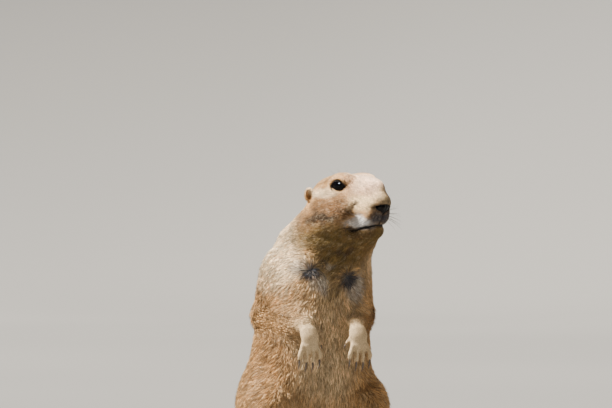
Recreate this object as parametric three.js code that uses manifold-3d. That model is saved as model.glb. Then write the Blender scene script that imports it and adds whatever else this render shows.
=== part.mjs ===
// A black-tailed prairie dog at life size, sitting up on its haunches with its head turned to its left.
// Millimetres, +Z up. The body faces -Y and its left side is +X. The floor is z = 0.
//
// The flesh is one blended body of ellipsoids and tapered capsules. Its surface is drawn over a grid of cells,
// fine on the head and coarse on the trunk, and thin cuts part it into the pieces that a person would name.
// Feet, digits, claws, tail and the flat locks of the tail's brush are spheres drawn out along a curve.
import * as THREE from 'three';
import { mergeVertices } from 'three/addons/utils/BufferGeometryUtils.js';
import Module from 'manifold-3d';

const wasm = await Module();
wasm.setup();

// Sizes and places, for the left side where there are two
const GAP = 0.3;                       // left between two pieces that touch
const EYES_MIDPOINT = [19, -40, 230];
const HEAD_TURN = 32;                  // degrees to the animal's left
const EYE_RADIUS = 6.7;
const LID_THICKNESS = 1.4;
const EYE = [15.6, 0, -0.6];           // this and the next four are in the head's frame
const EYE_OUTWARD = [0.93, 0.35, 0.1];
const EAR = [21.8, -26.2, -8.8];
const NOSE = [0, 28.9, -18.2];
const NOSTRIL = [5.4, 33.6, -18.8];
const EAR_RADII = [4.4, 4.1, 5.9];     // across, out of the cup, along its height
const EAR_WALL = 1.3;
const NOSE_RADII = [10.2, 6.2, 4];
const MOUTH_OPENING = 1.1;
const MOUTH_DEPTH = 1.8;
const SHOULDER = [30, -6, 165];
const ELBOW = [39, 3, 124];
const WRIST = [21, -44, 117];
const HAUNCH = [38, 14, 47];
const HAUNCH_RADII = [21, 38, 39];
const KNEE = [43, -14, 50];
const KNEE_RADII = [15, 20, 22];
const FINGER_RADIUS = 2.25;
const THUMB_RADIUS = 1.9;
const TOE_RADIUS = 2.9;
const CLAW_RADIUS = 1.5;
const THUMB_CLAW_RADIUS = 1.1;
const TAIL = [[0, 66, 19], [2, 86, 8.8], [7, 108, 5.4], [14, 126, 4.4], [20, 139, 4.6]];
const TAIL_CORE = { wide: [9, 6], high: [7.5, 4.6] };   // half sizes, at the root and at the end
const LOCK_RINGS = 6;                  // along the tail, with LOCKS_AROUND in each
const LOCKS_AROUND = 6;
const LOCK_LENGTH = 23;
const LOCK_WIDTH = 4.6;                // half of it
const SIDES = { left: 1, right: -1 };

// Cell sizes of the drawn surface
const HEAD_CELL = 3.6;
const NOSE_CELL = 2.3;
const NECK_CELL = 7;
const TRUNK_CELL = 12.5;
const ARM_CELL = 7;
const HAUNCH_CELL = 10;

const radians = THREE.MathUtils.degToRad;
const point = (x, y, z) => new THREE.Vector3(x, y, z);
const onSide = (p, s) => [p[0] * s, p[1], p[2]];
const between = (a, b, t) => a + (b - a) * t;

// Shapes as distances: negative inside, in millimetres

function ellipsoid([cx, cy, cz], [rx, ry, rz]) {
  return (x, y, z) => {
    const dx = (x - cx) / rx, dy = (y - cy) / ry, dz = (z - cz) / rz;
    const scaled = Math.hypot(dx, dy, dz);
    const slope = Math.hypot(dx / rx, dy / ry, dz / rz);
    return slope < 1e-9 ? -Math.min(rx, ry, rz) : scaled * (scaled - 1) / slope;
  };
}

// A capsule from a to b, whose radius goes from ra to rb
function taper(a, ra, b, rb) {
  const along = [b[0] - a[0], b[1] - a[1], b[2] - a[2]];
  const squared = along[0] ** 2 + along[1] ** 2 + along[2] ** 2;
  return (x, y, z) => {
    const dx = x - a[0], dy = y - a[1], dz = z - a[2];
    const t = THREE.MathUtils.clamp((dx * along[0] + dy * along[1] + dz * along[2]) / squared, 0, 1);
    return Math.hypot(dx - t * along[0], dy - t * along[1], dz - t * along[2]) - (ra + (rb - ra) * t);
  };
}

function softMin(a, b, reach) {
  const share = Math.max(reach - Math.abs(a - b), 0) / reach;
  return Math.min(a, b) - share * share * reach / 4;
}

// Shapes joined with fillets of about that reach
function blend(reach, shapes) {
  return (x, y, z) => {
    let d = shapes[0](x, y, z);
    for (let i = 1; i < shapes.length; i++) d = softMin(d, shapes[i](x, y, z), reach);
    return d;
  };
}

// The head's own frame: x to the animal's left, y backward and z up, from the midpoint between the eyes.
// Points of the head are written [left, forward, up].

const headFrame = new THREE.Matrix4()
  .makeTranslation(...EYES_MIDPOINT)
  .multiply(new THREE.Matrix4().makeRotationZ(radians(HEAD_TURN)));
const bodyToHead = headFrame.clone().invert();

function inHead(shape) {
  const m = bodyToHead.elements;
  return (x, y, z) => shape(
    m[0] * x + m[4] * y + m[8] * z + m[12],
    -(m[1] * x + m[5] * y + m[9] * z + m[13]),
    m[2] * x + m[6] * y + m[10] * z + m[14],
  );
}

const ofHead = ([left, forward, up]) => point(left, -forward, up).applyMatrix4(headFrame);
const headDirection = (left, forward, up) => point(left, -forward, up).transformDirection(headFrame);

function facing(outward, upright) {
  const up = upright.clone().projectOnPlane(outward).normalize();
  return { across: new THREE.Vector3().crossVectors(up, outward), up, outward };
}

const bothSides = (make) => [make(1), make(-1)];

const skull = blend(8, [
  ellipsoid([0, -11, -12], [23.5, 25.5, 20]),                                // braincase
  ellipsoid([0, 8, -12.5], [17.5, 22, 18]),                                  // face
  ...bothSides((s) => ellipsoid([13 * s, 1, 4], [5.5, 10, 4.5])),            // brows
  ...bothSides((s) => ellipsoid([14 * s, -7, -23], [13.5, 20, 17])),         // cheeks
]);
const muzzle = blend(5, [
  ellipsoid([0, 14, -12.5], [16.5, 19.5, 17.4]),                             // bridge
  ellipsoid([0, 27, -15], [12, 7.5, 8]),                                     // nose end
  ...bothSides((s) => ellipsoid([6.5 * s, 22, -25], [7.5, 9.5, 7.5])),       // whisker pads
]);
const jaw = blend(6, [
  ellipsoid([0, 14, -36], [11.5, 15.5, 8.5]),                                // chin
  ellipsoid([0, -6, -40], [22, 25, 14]),                                     // throat
]);
const head = inHead(blend(5, [skull, muzzle, jaw]));

// The trunk, neck and limbs, in the body's frame

const neck = blend(14, [
  ellipsoid([11, -26, 198], [31, 28, 22]),
  ellipsoid([8, -16, 184], [38, 31, 22]),
]);
const trunk = blend(22, [
  ellipsoid([1, -3, 160], [37, 36, 32]),                                     // shoulders
  ellipsoid([0, -1, 132], [39, 38, 42]),                                     // chest
  ellipsoid([0, 8, 90], [48.5, 45.5, 54]),                                   // belly
  ellipsoid([0, 32, 49], [48, 46, 51]),                                      // rump
]);
const haunch = (s) => blend(12, [
  ellipsoid(onSide(HAUNCH, s), HAUNCH_RADII),
  ellipsoid(onSide(KNEE, s), KNEE_RADII),
]);
const upperArm = (s) => taper(onSide(SHOULDER, s), 15.5, onSide(ELBOW, s), 11.5);
const forearm = (s) => taper(onSide(ELBOW, s), 11, onSide(WRIST, s), 6.5);
const flesh = blend(9, [
  blend(18, [trunk, neck]),
  ...bothSides(upperArm),
  ...bothSides(haunch),
  ...bothSides(forearm),
  head,
]);

// The surface where a distance is zero, inside a box, with one vertex in each cell that it crosses

function surfaceOf(distance, { min, max }, cell) {
  const [nx, ny, nz] = ['x', 'y', 'z'].map((k) => Math.ceil((max[k] - min[k]) / cell) + 3);
  const boxed = (x, y, z) => Math.max(
    distance(x, y, z),
    min.x - x, x - max.x, min.y - y, y - max.y, min.z - z, z - max.z,
  );
  const place = (i, j, k) => [min.x + (i - 1) * cell, min.y + (j - 1) * cell, min.z + (k - 1) * cell];
  const at = (i, j, k) => (k * ny + j) * nx + i;
  const values = new Float32Array(nx * ny * nz);
  eachCell([nx, ny, nz], (i, j, k) => {
    values[at(i, j, k)] = boxed(...place(i, j, k)) || 1e-6;
  });
  fillPinches(values, at, [nx, ny, nz]);

  const positions = [];
  const vertexIn = new Int32Array(nx * ny * nz).fill(-1);
  const corners = [0, 1, 2, 3, 4, 5, 6, 7].map((c) => [c & 1, (c >> 1) & 1, c >> 2]);
  const edges = [[0, 1], [2, 3], [4, 5], [6, 7], [0, 2], [1, 3], [4, 6], [5, 7], [0, 4], [1, 5], [2, 6], [3, 7]];
  eachCell([nx - 1, ny - 1, nz - 1], (i, j, k) => {
    const value = corners.map(([a, b, c]) => values[at(i + a, j + b, k + c)]);
    const sum = [0, 0, 0];
    let crossings = 0;
    for (const [a, b] of edges) {
      if ((value[a] < 0) === (value[b] < 0)) continue;
      const t = value[a] / (value[a] - value[b]);
      for (const axis of [0, 1, 2]) sum[axis] += corners[a][axis] + t * (corners[b][axis] - corners[a][axis]);
      crossings++;
    }
    if (!crossings) return;
    const start = place(i, j, k);
    const centre = sum.map((v, axis) => start[axis] + cell * v / crossings);
    vertexIn[at(i, j, k)] = positions.length / 3;
    positions.push(...ontoSurface(boxed, centre, cell));
  });

  const faces = [];
  const apart = (m, n) => Math.hypot(...[0, 1, 2].map((axis) => positions[3 * m + axis] - positions[3 * n + axis]));
  const quad = (ring, turned) => {
    const [p, q, r, s] = turned ? [...ring].reverse() : ring;
    if (apart(p, r) < apart(q, s)) faces.push(p, q, r, p, r, s);
    else faces.push(q, r, s, q, s, p);
  };
  const ring = [[-1, -1], [0, -1], [0, 0], [-1, 0]];
  eachCell([nx - 1, ny - 1, nz - 1], (i, j, k) => {
    if (!i || !j || !k) return;
    const inside = values[at(i, j, k)] < 0;
    const crosses = (a, b, c) => inside !== values[at(i + a, j + b, k + c)] < 0;
    const cell = (a, b, c) => vertexIn[at(i + a, j + b, k + c)];
    if (crosses(1, 0, 0)) quad(ring.map(([a, b]) => cell(0, a, b)), !inside);
    if (crosses(0, 1, 0)) quad(ring.map(([a, b]) => cell(b, 0, a)), !inside);
    if (crosses(0, 0, 1)) quad(ring.map(([a, b]) => cell(a, b, 0)), !inside);
  });
  return new THREE.BufferGeometry()
    .setAttribute('position', new THREE.BufferAttribute(new Float32Array(positions), 3))
    .setIndex(faces);
}

function eachCell([nx, ny, nz], visit) {
  for (let k = 0; k < nz; k++) {
    for (let j = 0; j < ny; j++) {
      for (let i = 0; i < nx; i++) visit(i, j, k);
    }
  }
}

// Two insides that meet at a cell's edge alone would pinch the surface, so one corner between them is filled
function fillPinches(values, at, [nx, ny, nz]) {
  const inside = (n) => values[n] < 0;
  const sides = [[[1, 0, 0], [0, 1, 0]], [[0, 1, 0], [0, 0, 1]], [[1, 0, 0], [0, 0, 1]]];
  let filled = true;
  while (filled) {
    filled = false;
    eachCell([nx - 1, ny - 1, nz - 1], (i, j, k) => {
      for (const [u, v] of sides) {
        const a = at(i, j, k);
        const b = at(i + u[0], j + u[1], k + u[2]);
        const c = at(i + u[0] + v[0], j + u[1] + v[1], k + u[2] + v[2]);
        const d = at(i + v[0], j + v[1], k + v[2]);
        if (inside(a) !== inside(c) || inside(b) !== inside(d) || inside(a) === inside(b)) continue;
        const [p, q] = inside(a) ? [b, d] : [a, c];
        values[values[p] < values[q] ? p : q] = -0.01;
        filled = true;
      }
    });
  }
}

// Moves a point down the slope of a distance until it lies on the surface, staying within half a cell
function ontoSurface(distance, start, cell) {
  const p = [...start];
  const step = 0.05;
  for (let round = 0; round < 4; round++) {
    const here = distance(...p);
    const slope = [0, 1, 2].map((axis) => {
      const q = [...p];
      q[axis] += step;
      return (distance(...q) - here) / step;
    });
    const steep = slope[0] ** 2 + slope[1] ** 2 + slope[2] ** 2;
    if (steep < 1e-4) break;
    for (const axis of [0, 1, 2]) {
      const moved = p[axis] - here * slope[axis] / steep;
      p[axis] = THREE.MathUtils.clamp(moved, start[axis] - cell / 2, start[axis] + cell / 2);
    }
  }
  return p;
}

// Geometry to solid

function solid(geometry) {
  const bare = geometry.index ? geometry.toNonIndexed() : geometry;
  const only = new THREE.BufferGeometry().setAttribute('position', bare.getAttribute('position'));
  const merged = mergeVertices(only, 1e-4);
  return new wasm.Manifold(new wasm.Mesh({
    numProp: 3,
    vertProperties: merged.attributes.position.array,
    triVerts: new Uint32Array(merged.index.array),
  }));
}

const drawn = (distance, box, cell) => solid(surfaceOf(distance, box, cell));
const boxOf = (low, high) => new THREE.Box3(point(...low), point(...high));
const union = (solids) => solids.reduce((all, one) => all.add(one));

// A block that holds all that lies past a plane
function past(origin, normal) {
  const size = 500;
  const block = new THREE.BoxGeometry(size, size, size).translate(0, 0, size / 2);
  const turn = new THREE.Quaternion().setFromUnitVectors(point(0, 0, 1), normal);
  return solid(block.applyQuaternion(turn).translate(...origin));
}

// The two sides of a thin cut along a plane
function cutAlong(origin, direction) {
  const normal = direction.clone().normalize();
  const half = normal.clone().multiplyScalar(GAP / 2);
  return {
    after: past(origin.clone().add(half), normal),
    before: past(origin.clone().sub(half), normal.clone().negate()),
  };
}

// A ball stretched to three radii along three directions of its own
function ball(centre, radii, axes, around = 14, rings = 9) {
  const geometry = new THREE.SphereGeometry(1, around, rings).scale(...radii);
  if (axes) geometry.applyMatrix4(new THREE.Matrix4().makeBasis(...axes));
  return solid(geometry.translate(...centre));
}

// A ball drawn out along a curve. radiusAt gives the width and the height there, and up says which way is high.
// A rounding of 1 gives a spindle, and less gives fuller ends.
function limb(points, radiusAt, up, around = 10, rings = 8, rounding = 0.45) {
  const curve = new THREE.CatmullRomCurve3(points.map((p) => point(...p)), false, 'centripetal');
  const geometry = new THREE.SphereGeometry(1, around, rings);
  const p = geometry.attributes.position;
  for (let i = 0; i < p.count; i++) {
    const t = THREE.MathUtils.clamp((1 - p.getY(i)) / 2, 0, 1);
    const centre = curve.getPoint(t);
    const tangent = curve.getTangent(t);
    const wide = new THREE.Vector3().crossVectors(up, tangent).normalize();
    const high = new THREE.Vector3().crossVectors(tangent, wide);
    const [width, height] = radiusAt(t);
    const fromAxis = Math.hypot(p.getX(i), p.getZ(i));
    const swell = fromAxis < 1e-6 ? 0 : fromAxis ** rounding / fromAxis;
    centre.addScaledVector(wide, p.getX(i) * swell * width).addScaledVector(high, p.getZ(i) * swell * height);
    p.setXYZ(i, ...centre);
  }
  return solid(geometry);
}

// Pieces

const group = new THREE.Group();

const looks = {
  coat: new THREE.MeshStandardMaterial({ color: 0xb99668, roughness: 0.9 }),
  tailTip: new THREE.MeshStandardMaterial({ color: 0x2a211b, roughness: 0.9 }),
  nose: new THREE.MeshStandardMaterial({ color: 0x1d1a1a, roughness: 0.5 }),
  eye: new THREE.MeshStandardMaterial({ color: 0x0b0807, roughness: 0.08 }),
  claw: new THREE.MeshStandardMaterial({ color: 0x2a2320, roughness: 0.4 }),
};

// Keeps the largest closed surface of a solid as a named piece
function addPiece(name, made, look) {
  const kept = made.decompose().sort((a, b) => b.volume() - a.volume())[0];
  const { numVert, numProp, vertProperties, triVerts } = kept.getMesh();
  const vertices = new Float32Array(numVert * 3);
  for (let i = 0; i < numVert; i++) {
    vertices.set(vertProperties.subarray(i * numProp, i * numProp + 3), i * 3);
  }
  const geometry = new THREE.BufferGeometry()
    .setAttribute('position', new THREE.BufferAttribute(vertices, 3))
    .setIndex(new THREE.BufferAttribute(triVerts, 1));
  geometry.computeVertexNormals();
  const piece = new THREE.Mesh(geometry, look);
  piece.name = name;
  group.add(piece);
}

const floorSide = past(point(0, 0, 0), point(0, 0, 1));

// Cuts between head, neck and trunk
const nape = cutAlong(ofHead([0, -20, -26]), headDirection(0, 0.6, 0.8));
const collar = cutAlong(point(2, -10, 183), point(0, -0.2, 1));

// Eyes and lids. The opening is almond shaped, with its front corner low.
const eyeAxes = (s) => facing(headDirection(...onSide(EYE_OUTWARD, s)), headDirection(0, 0, 1));

function eyeOpening(s) {
  const shape = new THREE.Shape();
  const front = -s;
  shape.moveTo(6.4 * front, -2.4);
  shape.bezierCurveTo(4.6 * front, 2.4, 1.6 * front, 4.9, -1.4 * front, 4.8);
  shape.bezierCurveTo(-4.4 * front, 4.7, -6.2 * front, 2.6, -6.2 * front, 0);
  shape.bezierCurveTo(-6.2 * front, -2.8, -3.6 * front, -4.6, -0.6 * front, -4.7);
  shape.bezierCurveTo(2.4 * front, -4.8, 4.6 * front, -4.2, 6.4 * front, -2.4);
  const geometry = new THREE.ExtrudeGeometry(shape, { depth: 20, bevelEnabled: false, curveSegments: 5 });
  const { across, up, outward } = eyeAxes(s);
  geometry.applyMatrix4(new THREE.Matrix4().makeBasis(across, up, outward));
  return solid(geometry.translate(...ofHead(onSide(EYE, s))));
}

function eyeball(s, growth) {
  const radius = EYE_RADIUS + growth;
  const { across, up, outward } = eyeAxes(s);
  return ball(ofHead(onSide(EYE, s)), [radius, radius, radius], [across, outward, up.negate()], 12, 9);
}

// Ears: small cups that open forward and outward
function earBall(s, growth, shift = 0) {
  const { across, up, outward } = facing(headDirection(0.76 * s, 0.62, 0.15), headDirection(-0.25 * s, -0.3, 1));
  const [wide, deep, high] = EAR_RADII.map((r) => r + growth);
  const centre = ofHead(onSide(EAR, s)).addScaledVector(outward, shift);
  return ball(centre, [wide, high, deep], [across, up, outward], 10, 6);
}

// Nose pad with two nostrils
const nosePad = (growth) => blend(2, [
  ellipsoid(NOSE, NOSE_RADII.map((r) => r + growth)),
  ellipsoid([0, 29.5, -20.5], [3.2 + growth, 4 + growth, 4 + growth]),
]);
const nostrils = blend(0.5, bothSides((s) => ellipsoid(onSide(NOSTRIL, s), [2, 2.6, 1.1])));
const noseBox = new THREE.Box3().setFromCenterAndSize(ofHead(NOSE), point(30, 30, 16));

// Line of the mouth, from corner to corner round the front, and the cleft under the nose
const behindMouth = (x, y, z) => flesh(x, y, z) + MOUTH_DEPTH;
const mouthLine = new THREE.BoxGeometry(60, 45, MOUTH_OPENING).rotateX(radians(-9.7)).translate(0, -31.5, -31.9);
const cleft = new THREE.BoxGeometry(1, 20, 10).translate(0, -36, -27);

const headBox = boxOf([-25, -90, 170], [60, 20, 245]);
const muzzleInside = drawn(behindMouth, boxOf([5, -90, 185], [60, -30, 225]), 4.5);

let headFlesh = drawn(flesh, headBox, HEAD_CELL).intersect(nape.after).intersect(collar.after);
for (const s of [1, -1]) headFlesh = headFlesh.add(eyeball(s, GAP + LID_THICKNESS));
for (const s of [1, -1]) {
  headFlesh = headFlesh.subtract(eyeball(s, GAP)).subtract(eyeOpening(s)).subtract(earBall(s, GAP));
}
headFlesh = headFlesh
  .subtract(solid(mouthLine.applyMatrix4(headFrame)).subtract(muzzleInside))
  .subtract(solid(cleft.applyMatrix4(headFrame)).subtract(muzzleInside))
  .subtract(drawn(inHead(nosePad(GAP)), noseBox, NOSE_CELL));
addPiece('head', headFlesh, looks.coat);

const noseShape = (x, y, z) => Math.max(nosePad(0)(x, y, z), -nostrils(x, y, z));
addPiece('nose', drawn(inHead(noseShape), noseBox, NOSE_CELL), looks.nose);

for (const [side, s] of Object.entries(SIDES)) {
  addPiece(`eye_${side}`, eyeball(s, 0), looks.eye);
  addPiece(`ear_${side}`, earBall(s, 0).subtract(earBall(s, -EAR_WALL, 2.4)), looks.coat);
}

// Limbs
const upAlongHand = point(0, -1, 0);

function armRegion(s, growth) {
  const [shoulder, elbow, wrist] = [SHOULDER, ELBOW, WRIST].map((p) => onSide(p, s));
  const upper = (t) => [between(19, 17.5, t) + growth, between(19, 17.5, t) + growth];
  const lower = (t) => [between(17, 10, t) + growth, between(17, 10, t) + growth];
  const upperLine = [[shoulder[0], shoulder[1], shoulder[2] + 17], [elbow[0], elbow[1], elbow[2] - 19]];
  const lowerLine = [[elbow[0] + 5 * s, elbow[1] + 17, elbow[2] + 1], [wrist[0] - 4 * s, wrist[1] - 10, wrist[2] - 1]];
  return limb(upperLine, upper, point(0, 1, 0), 10, 6).add(limb(lowerLine, lower, point(0, 0, 1), 10, 6));
}

function haunchRegion(s, growth) {
  const spread = 2.5 + growth;
  return ball(onSide([43, 14, 47], s), [22 + spread, 39 + spread, 40 + spread])
    .add(ball(onSide(KNEE, s), KNEE_RADII.map((r) => r + spread), undefined, 10, 7));
}

// Four long fingers that spread a little, and a small thumb, hanging from the wrist
function fingers(s) {
  const out = [];
  for (let i = 0; i < 4; i++) {
    const [root, knuckle, tip] = [2.7, 4.3, 5.6].map((step) => 21 + step * (i - 1.5));
    const long = [0, 2.2, 2.2, 0.4][i];
    out.push({
      name: `${i + 2}`,
      radius: FINGER_RADIUS,
      clawRadius: CLAW_RADIUS,
      points: [[root, -50, 106], [knuckle, -53.5, 100], [tip, -53.8, 94 - long], [tip, -51.5, 89.5 - long]],
      claw: [[tip, -52.6, 92 - long], [tip, -52.4, 87 - long], [tip, -48.5, 82 - long]],
    });
  }
  out.push({
    name: '1',
    radius: THUMB_RADIUS,
    clawRadius: THUMB_CLAW_RADIUS,
    points: [[17, -48, 108], [12, -48.5, 105], [9.8, -48.5, 101.5]],
    claw: [[10.3, -48.6, 102.6], [9.5, -48.6, 100.2], [9.2, -47.4, 98.4]],
  });
  return out.map((d) => ({
    ...d,
    points: d.points.map((p) => onSide(p, s)),
    claw: d.claw.map((p) => onSide(p, s)),
  }));
}

// Five toes on the hind foot, the middle ones longest
function toes(s) {
  return [-2, -1, 0, 1, 2].map((i) => {
    const x = 37 + 4.3 * i;
    const spread = 1.5 * i;
    const short = [9, 2, 0, 1.2, 6][i + 2];
    const tip = -49 + short;
    return {
      name: `${i + 3}`,
      radius: TOE_RADIUS,
      clawRadius: CLAW_RADIUS,
      points: [[x - spread, -26 + short / 2, 5.8], [x, tip + 10, 5.2], [x + spread, tip, 2.7]].map((p) => onSide(p, s)),
      claw: [[x + spread * 0.8, tip + 2.4, 3.5], [x + spread * 1.3, tip - 2.6, 3.3], [x + spread * 1.7, tip - 6.4, 1.5]]
        .map((p) => onSide(p, s)),
    };
  });
}

const thinning = (from, to) => (t) => [between(from, to, t), between(from, to, t)];
const digit = (d) => limb(d.points, thinning(d.radius, d.radius * 0.8), point(0, 1, 1), 5, 5);
const claw = (d, growth) => limb(
  d.claw,
  (t) => [d.clawRadius * (1 - 0.85 * t) + growth, 1.25 * d.clawRadius * (1 - 0.85 * t) + growth],
  point(0, -1, 1), 5, 4,
);

let torso = drawn(flesh, boxOf([-68, -70, -8], [68, 90, 200]), TRUNK_CELL)
  .intersect(collar.before)
  .intersect(floorSide);
let neckFlesh = drawn(flesh, boxOf([-50, -75, 168], [60, 40, 225]), NECK_CELL)
  .intersect(collar.after)
  .intersect(nape.before);

// Tail, lying on the floor behind, with its last third black. A core carries a brush of flat locks, which
// leave it at a slant, bend back along the tail and lengthen towards its tip.
const tailLine = new THREE.CatmullRomCurve3(TAIL.map((p) => point(...p)), false, 'centripetal');

function tailCore(growth) {
  const half = (t) => [between(...TAIL_CORE.wide, t) + growth, between(...TAIL_CORE.high, t) + growth];
  return limb(TAIL, half, point(0, 0, 1), 8, 8);
}

function tailLock(t, angle, length) {
  const root = tailLine.getPoint(t);
  const along = tailLine.getTangent(t);
  const side = point(0, 0, 1).cross(along).normalize();
  const wide = side.clone().multiplyScalar(between(...TAIL_CORE.wide, t) * Math.cos(angle));
  const high = along.clone().cross(side).multiplyScalar(between(...TAIL_CORE.high, t) * Math.sin(angle));
  const surface = wide.add(high);
  const at = (share, reach) => [...root.clone().addScaledVector(along, length * share).addScaledVector(surface, reach)];
  const half = (u) => [LOCK_WIDTH * between(1, 0.35, u), between(1.9, 0.8, u)];
  return limb([at(0, 0.6), at(0.4, 1.12), at(0.75, 1.42), at(1, 1.45)], half, surface, 4, 4, 0.7);
}

function tailWithLocks() {
  const locks = [];
  for (let ring = 0; ring < LOCK_RINGS; ring++) {
    const t = between(0.2, 0.95, ring / (LOCK_RINGS - 1));
    for (let i = 0; i < LOCKS_AROUND; i++) {
      const turn = (i + (ring % 2) / 2) / (LOCKS_AROUND - 0.5);
      locks.push(tailLock(t, Math.PI * between(-0.1, 1.1, turn), LOCK_LENGTH * between(0.85, 1.1, t)));
    }
  }
  return union([tailCore(0), ...locks]).intersect(floorSide);
}

const tail = tailWithLocks();
const tailCut = cutAlong(point(11, 120, 8), point(0.35, 1, 0));
addPiece('tail', tail.intersect(tailCut.before), looks.coat);
addPiece('tail_tip', tail.intersect(tailCut.after), looks.tailTip);
torso = torso.subtract(tailCore(GAP));

for (const [side, s] of Object.entries(SIDES)) {
  const [shoulder, elbow, wrist] = [SHOULDER, ELBOW, WRIST].map((p) => point(...onSide(p, s)));
  const alongUpper = elbow.clone().sub(shoulder).normalize();
  const alongFore = wrist.clone().sub(elbow).normalize();
  const elbowCut = cutAlong(elbow.clone().addScaledVector(alongFore, 4), alongUpper.clone().add(alongFore));
  const wristCut = cutAlong(wrist.clone().addScaledVector(alongFore, -1), alongFore.clone().add(point(0, -0.2, -0.7)));

  const armBox = boxOf(s > 0 ? [2, -65, 95] : [-65, -65, 95], s > 0 ? [65, 35, 205] : [-2, 35, 205]);
  const arm = drawn(flesh, armBox, ARM_CELL).intersect(armRegion(s, 0));
  addPiece(`upper_arm_${side}`, arm.intersect(elbowCut.before), looks.coat);
  addPiece(`forearm_${side}`, arm.intersect(elbowCut.after).intersect(wristCut.before), looks.coat);
  const armCutter = armRegion(s, GAP);
  torso = torso.subtract(armCutter);
  neckFlesh = neckFlesh.subtract(armCutter);

  const palm = limb(
    [[23, -36, 118], [21, -45, 116], [20.5, -51, 110], [20.5, -53, 103]].map((p) => onSide(p, s)),
    (t) => [between(6.2, 9.2, t), between(6.2, 4.6, t)], upAlongHand, 10, 6,
  );
  let forepaw = union([palm, ...fingers(s).map(digit)]);
  forepaw = forepaw.intersect(wristCut.after);
  for (const d of fingers(s)) {
    forepaw = forepaw.subtract(claw(d, GAP));
    addPiece(`fore_claw_${side}_${d.name}`, claw(d, 0), looks.claw);
  }
  addPiece(`forepaw_${side}`, forepaw, looks.coat);

  const sole = (growth) => limb(
    [[33, 9, 7.7], [33.6, -6, 6.9], [36, -23, 6.2], [37, -35, 5]].map((p) => onSide(p, s)),
    (t) => [between(8, 11.2, t) + growth, between(8.4, 6.2, t) + growth], point(0, 0, 1), 10, 7,
  );
  let hindFoot = union([sole(0), ...toes(s).map(digit)]).intersect(floorSide);
  const haunchBox = boxOf(s > 0 ? [8, -60, 0] : [-75, -60, 0], s > 0 ? [75, 68, 100] : [-8, 68, 100]);
  const thigh = drawn(flesh, haunchBox, HAUNCH_CELL).intersect(haunchRegion(s, 0));
  addPiece(`thigh_${side}`, thigh.subtract(sole(GAP)).intersect(floorSide), looks.coat);
  torso = torso.subtract(haunchRegion(s, GAP)).subtract(sole(GAP));
  for (const d of toes(s)) {
    hindFoot = hindFoot.subtract(claw(d, GAP));
    addPiece(`hind_claw_${side}_${d.name}`, claw(d, 0), looks.claw);
  }
  addPiece(`hind_foot_${side}`, hindFoot, looks.coat);
}
addPiece('torso', torso, looks.coat);
addPiece('neck', neckFlesh, looks.coat);

// The centre of the outline is brought over the origin
const outline = new THREE.Box3().setFromObject(group);
const middle = outline.getCenter(point(0, 0, 0));
group.position.set(-middle.x, -middle.y, -outline.min.z);
group.updateMatrixWorld(true);

export default group;
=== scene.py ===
"""A life-size museum model of a black-tailed prairie dog: skin, coat and features over its solids.

Lengths in the lists below are millimetres in the animal's own frame: the body faces -Y, its left is +X and
the floor is z = 0. Points of the head are [left, forward, up] from the midpoint between the eyes.
"""

import math
from collections import namedtuple

import bpy
import numpy as np
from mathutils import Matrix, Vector
from mathutils.bvhtree import BVHTree
from mathutils.kdtree import KDTree


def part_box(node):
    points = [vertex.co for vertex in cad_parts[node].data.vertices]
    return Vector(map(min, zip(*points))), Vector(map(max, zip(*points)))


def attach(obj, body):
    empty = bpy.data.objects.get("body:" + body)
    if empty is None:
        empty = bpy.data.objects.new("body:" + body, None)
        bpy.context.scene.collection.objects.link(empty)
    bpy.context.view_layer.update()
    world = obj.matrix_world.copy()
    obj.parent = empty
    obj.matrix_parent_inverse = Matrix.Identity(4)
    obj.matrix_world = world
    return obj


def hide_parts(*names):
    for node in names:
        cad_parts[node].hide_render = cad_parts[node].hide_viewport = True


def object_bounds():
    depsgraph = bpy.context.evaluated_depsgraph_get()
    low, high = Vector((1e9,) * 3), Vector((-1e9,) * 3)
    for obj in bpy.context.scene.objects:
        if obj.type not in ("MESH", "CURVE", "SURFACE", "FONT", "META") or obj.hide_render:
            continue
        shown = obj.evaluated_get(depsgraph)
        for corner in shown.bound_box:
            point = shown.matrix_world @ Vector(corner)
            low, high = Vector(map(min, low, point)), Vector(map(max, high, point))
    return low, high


bl_info = {
    "name": "Prairie Dog Model",
    "version": (1, 0, 0),
    "blender": (4, 5, 0),
    "location": "3D View > Sidebar > Prairie Dog",
    "description": "Dresses the solids of a sitting prairie dog with skin, coat and features",
    "category": "Object",
}

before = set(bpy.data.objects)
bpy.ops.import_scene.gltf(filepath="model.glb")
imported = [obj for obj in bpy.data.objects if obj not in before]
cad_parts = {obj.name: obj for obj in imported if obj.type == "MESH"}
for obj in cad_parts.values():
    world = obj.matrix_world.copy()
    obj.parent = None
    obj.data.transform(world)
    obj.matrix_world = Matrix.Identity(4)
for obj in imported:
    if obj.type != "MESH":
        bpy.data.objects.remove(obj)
CAD_BOX = [list(corner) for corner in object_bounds()]
FLOOR_HEIGHT = CAD_BOX[0][2]
BODY = "root"
MM = 0.001

# The animal's frame

EYES_MIDPOINT = (19.0, -40.0, 230.0)
HEAD_TURN = math.radians(32)
EYE_RADIUS = 6.7
EYE_OUTWARD = (0.93, 0.35, 0.1)
EYE = (15.6, 0.0, -0.6)
EAR = (21.8, -26.2, -8.8)
EAR_OPENING = (0.76, 0.62, 0.15)
NOSE = (0.0, 28.9, -18.2)
MOUTH_FRONT = (31.5, -31.9)
MOUTH_SLOPE = math.tan(math.radians(9.7))
MOUTH_ROUND = 12.0  # how far forward lies the middle that the line of the mouth runs round
MOUTH_PLACE = (0, 20, -28)
MOUTH_REACH = (26, 26, 14)
TAIL_LINE = ((0, 66, 19), (2, 86, 8.8), (7, 108, 5.4), (14, 126, 4.4), (20, 139, 4.6))
SIDES = {"left": 1, "right": -1}


def middle(node):
    """The middle of a solid's box."""
    low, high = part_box(node)
    return (low + high) / 2


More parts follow.
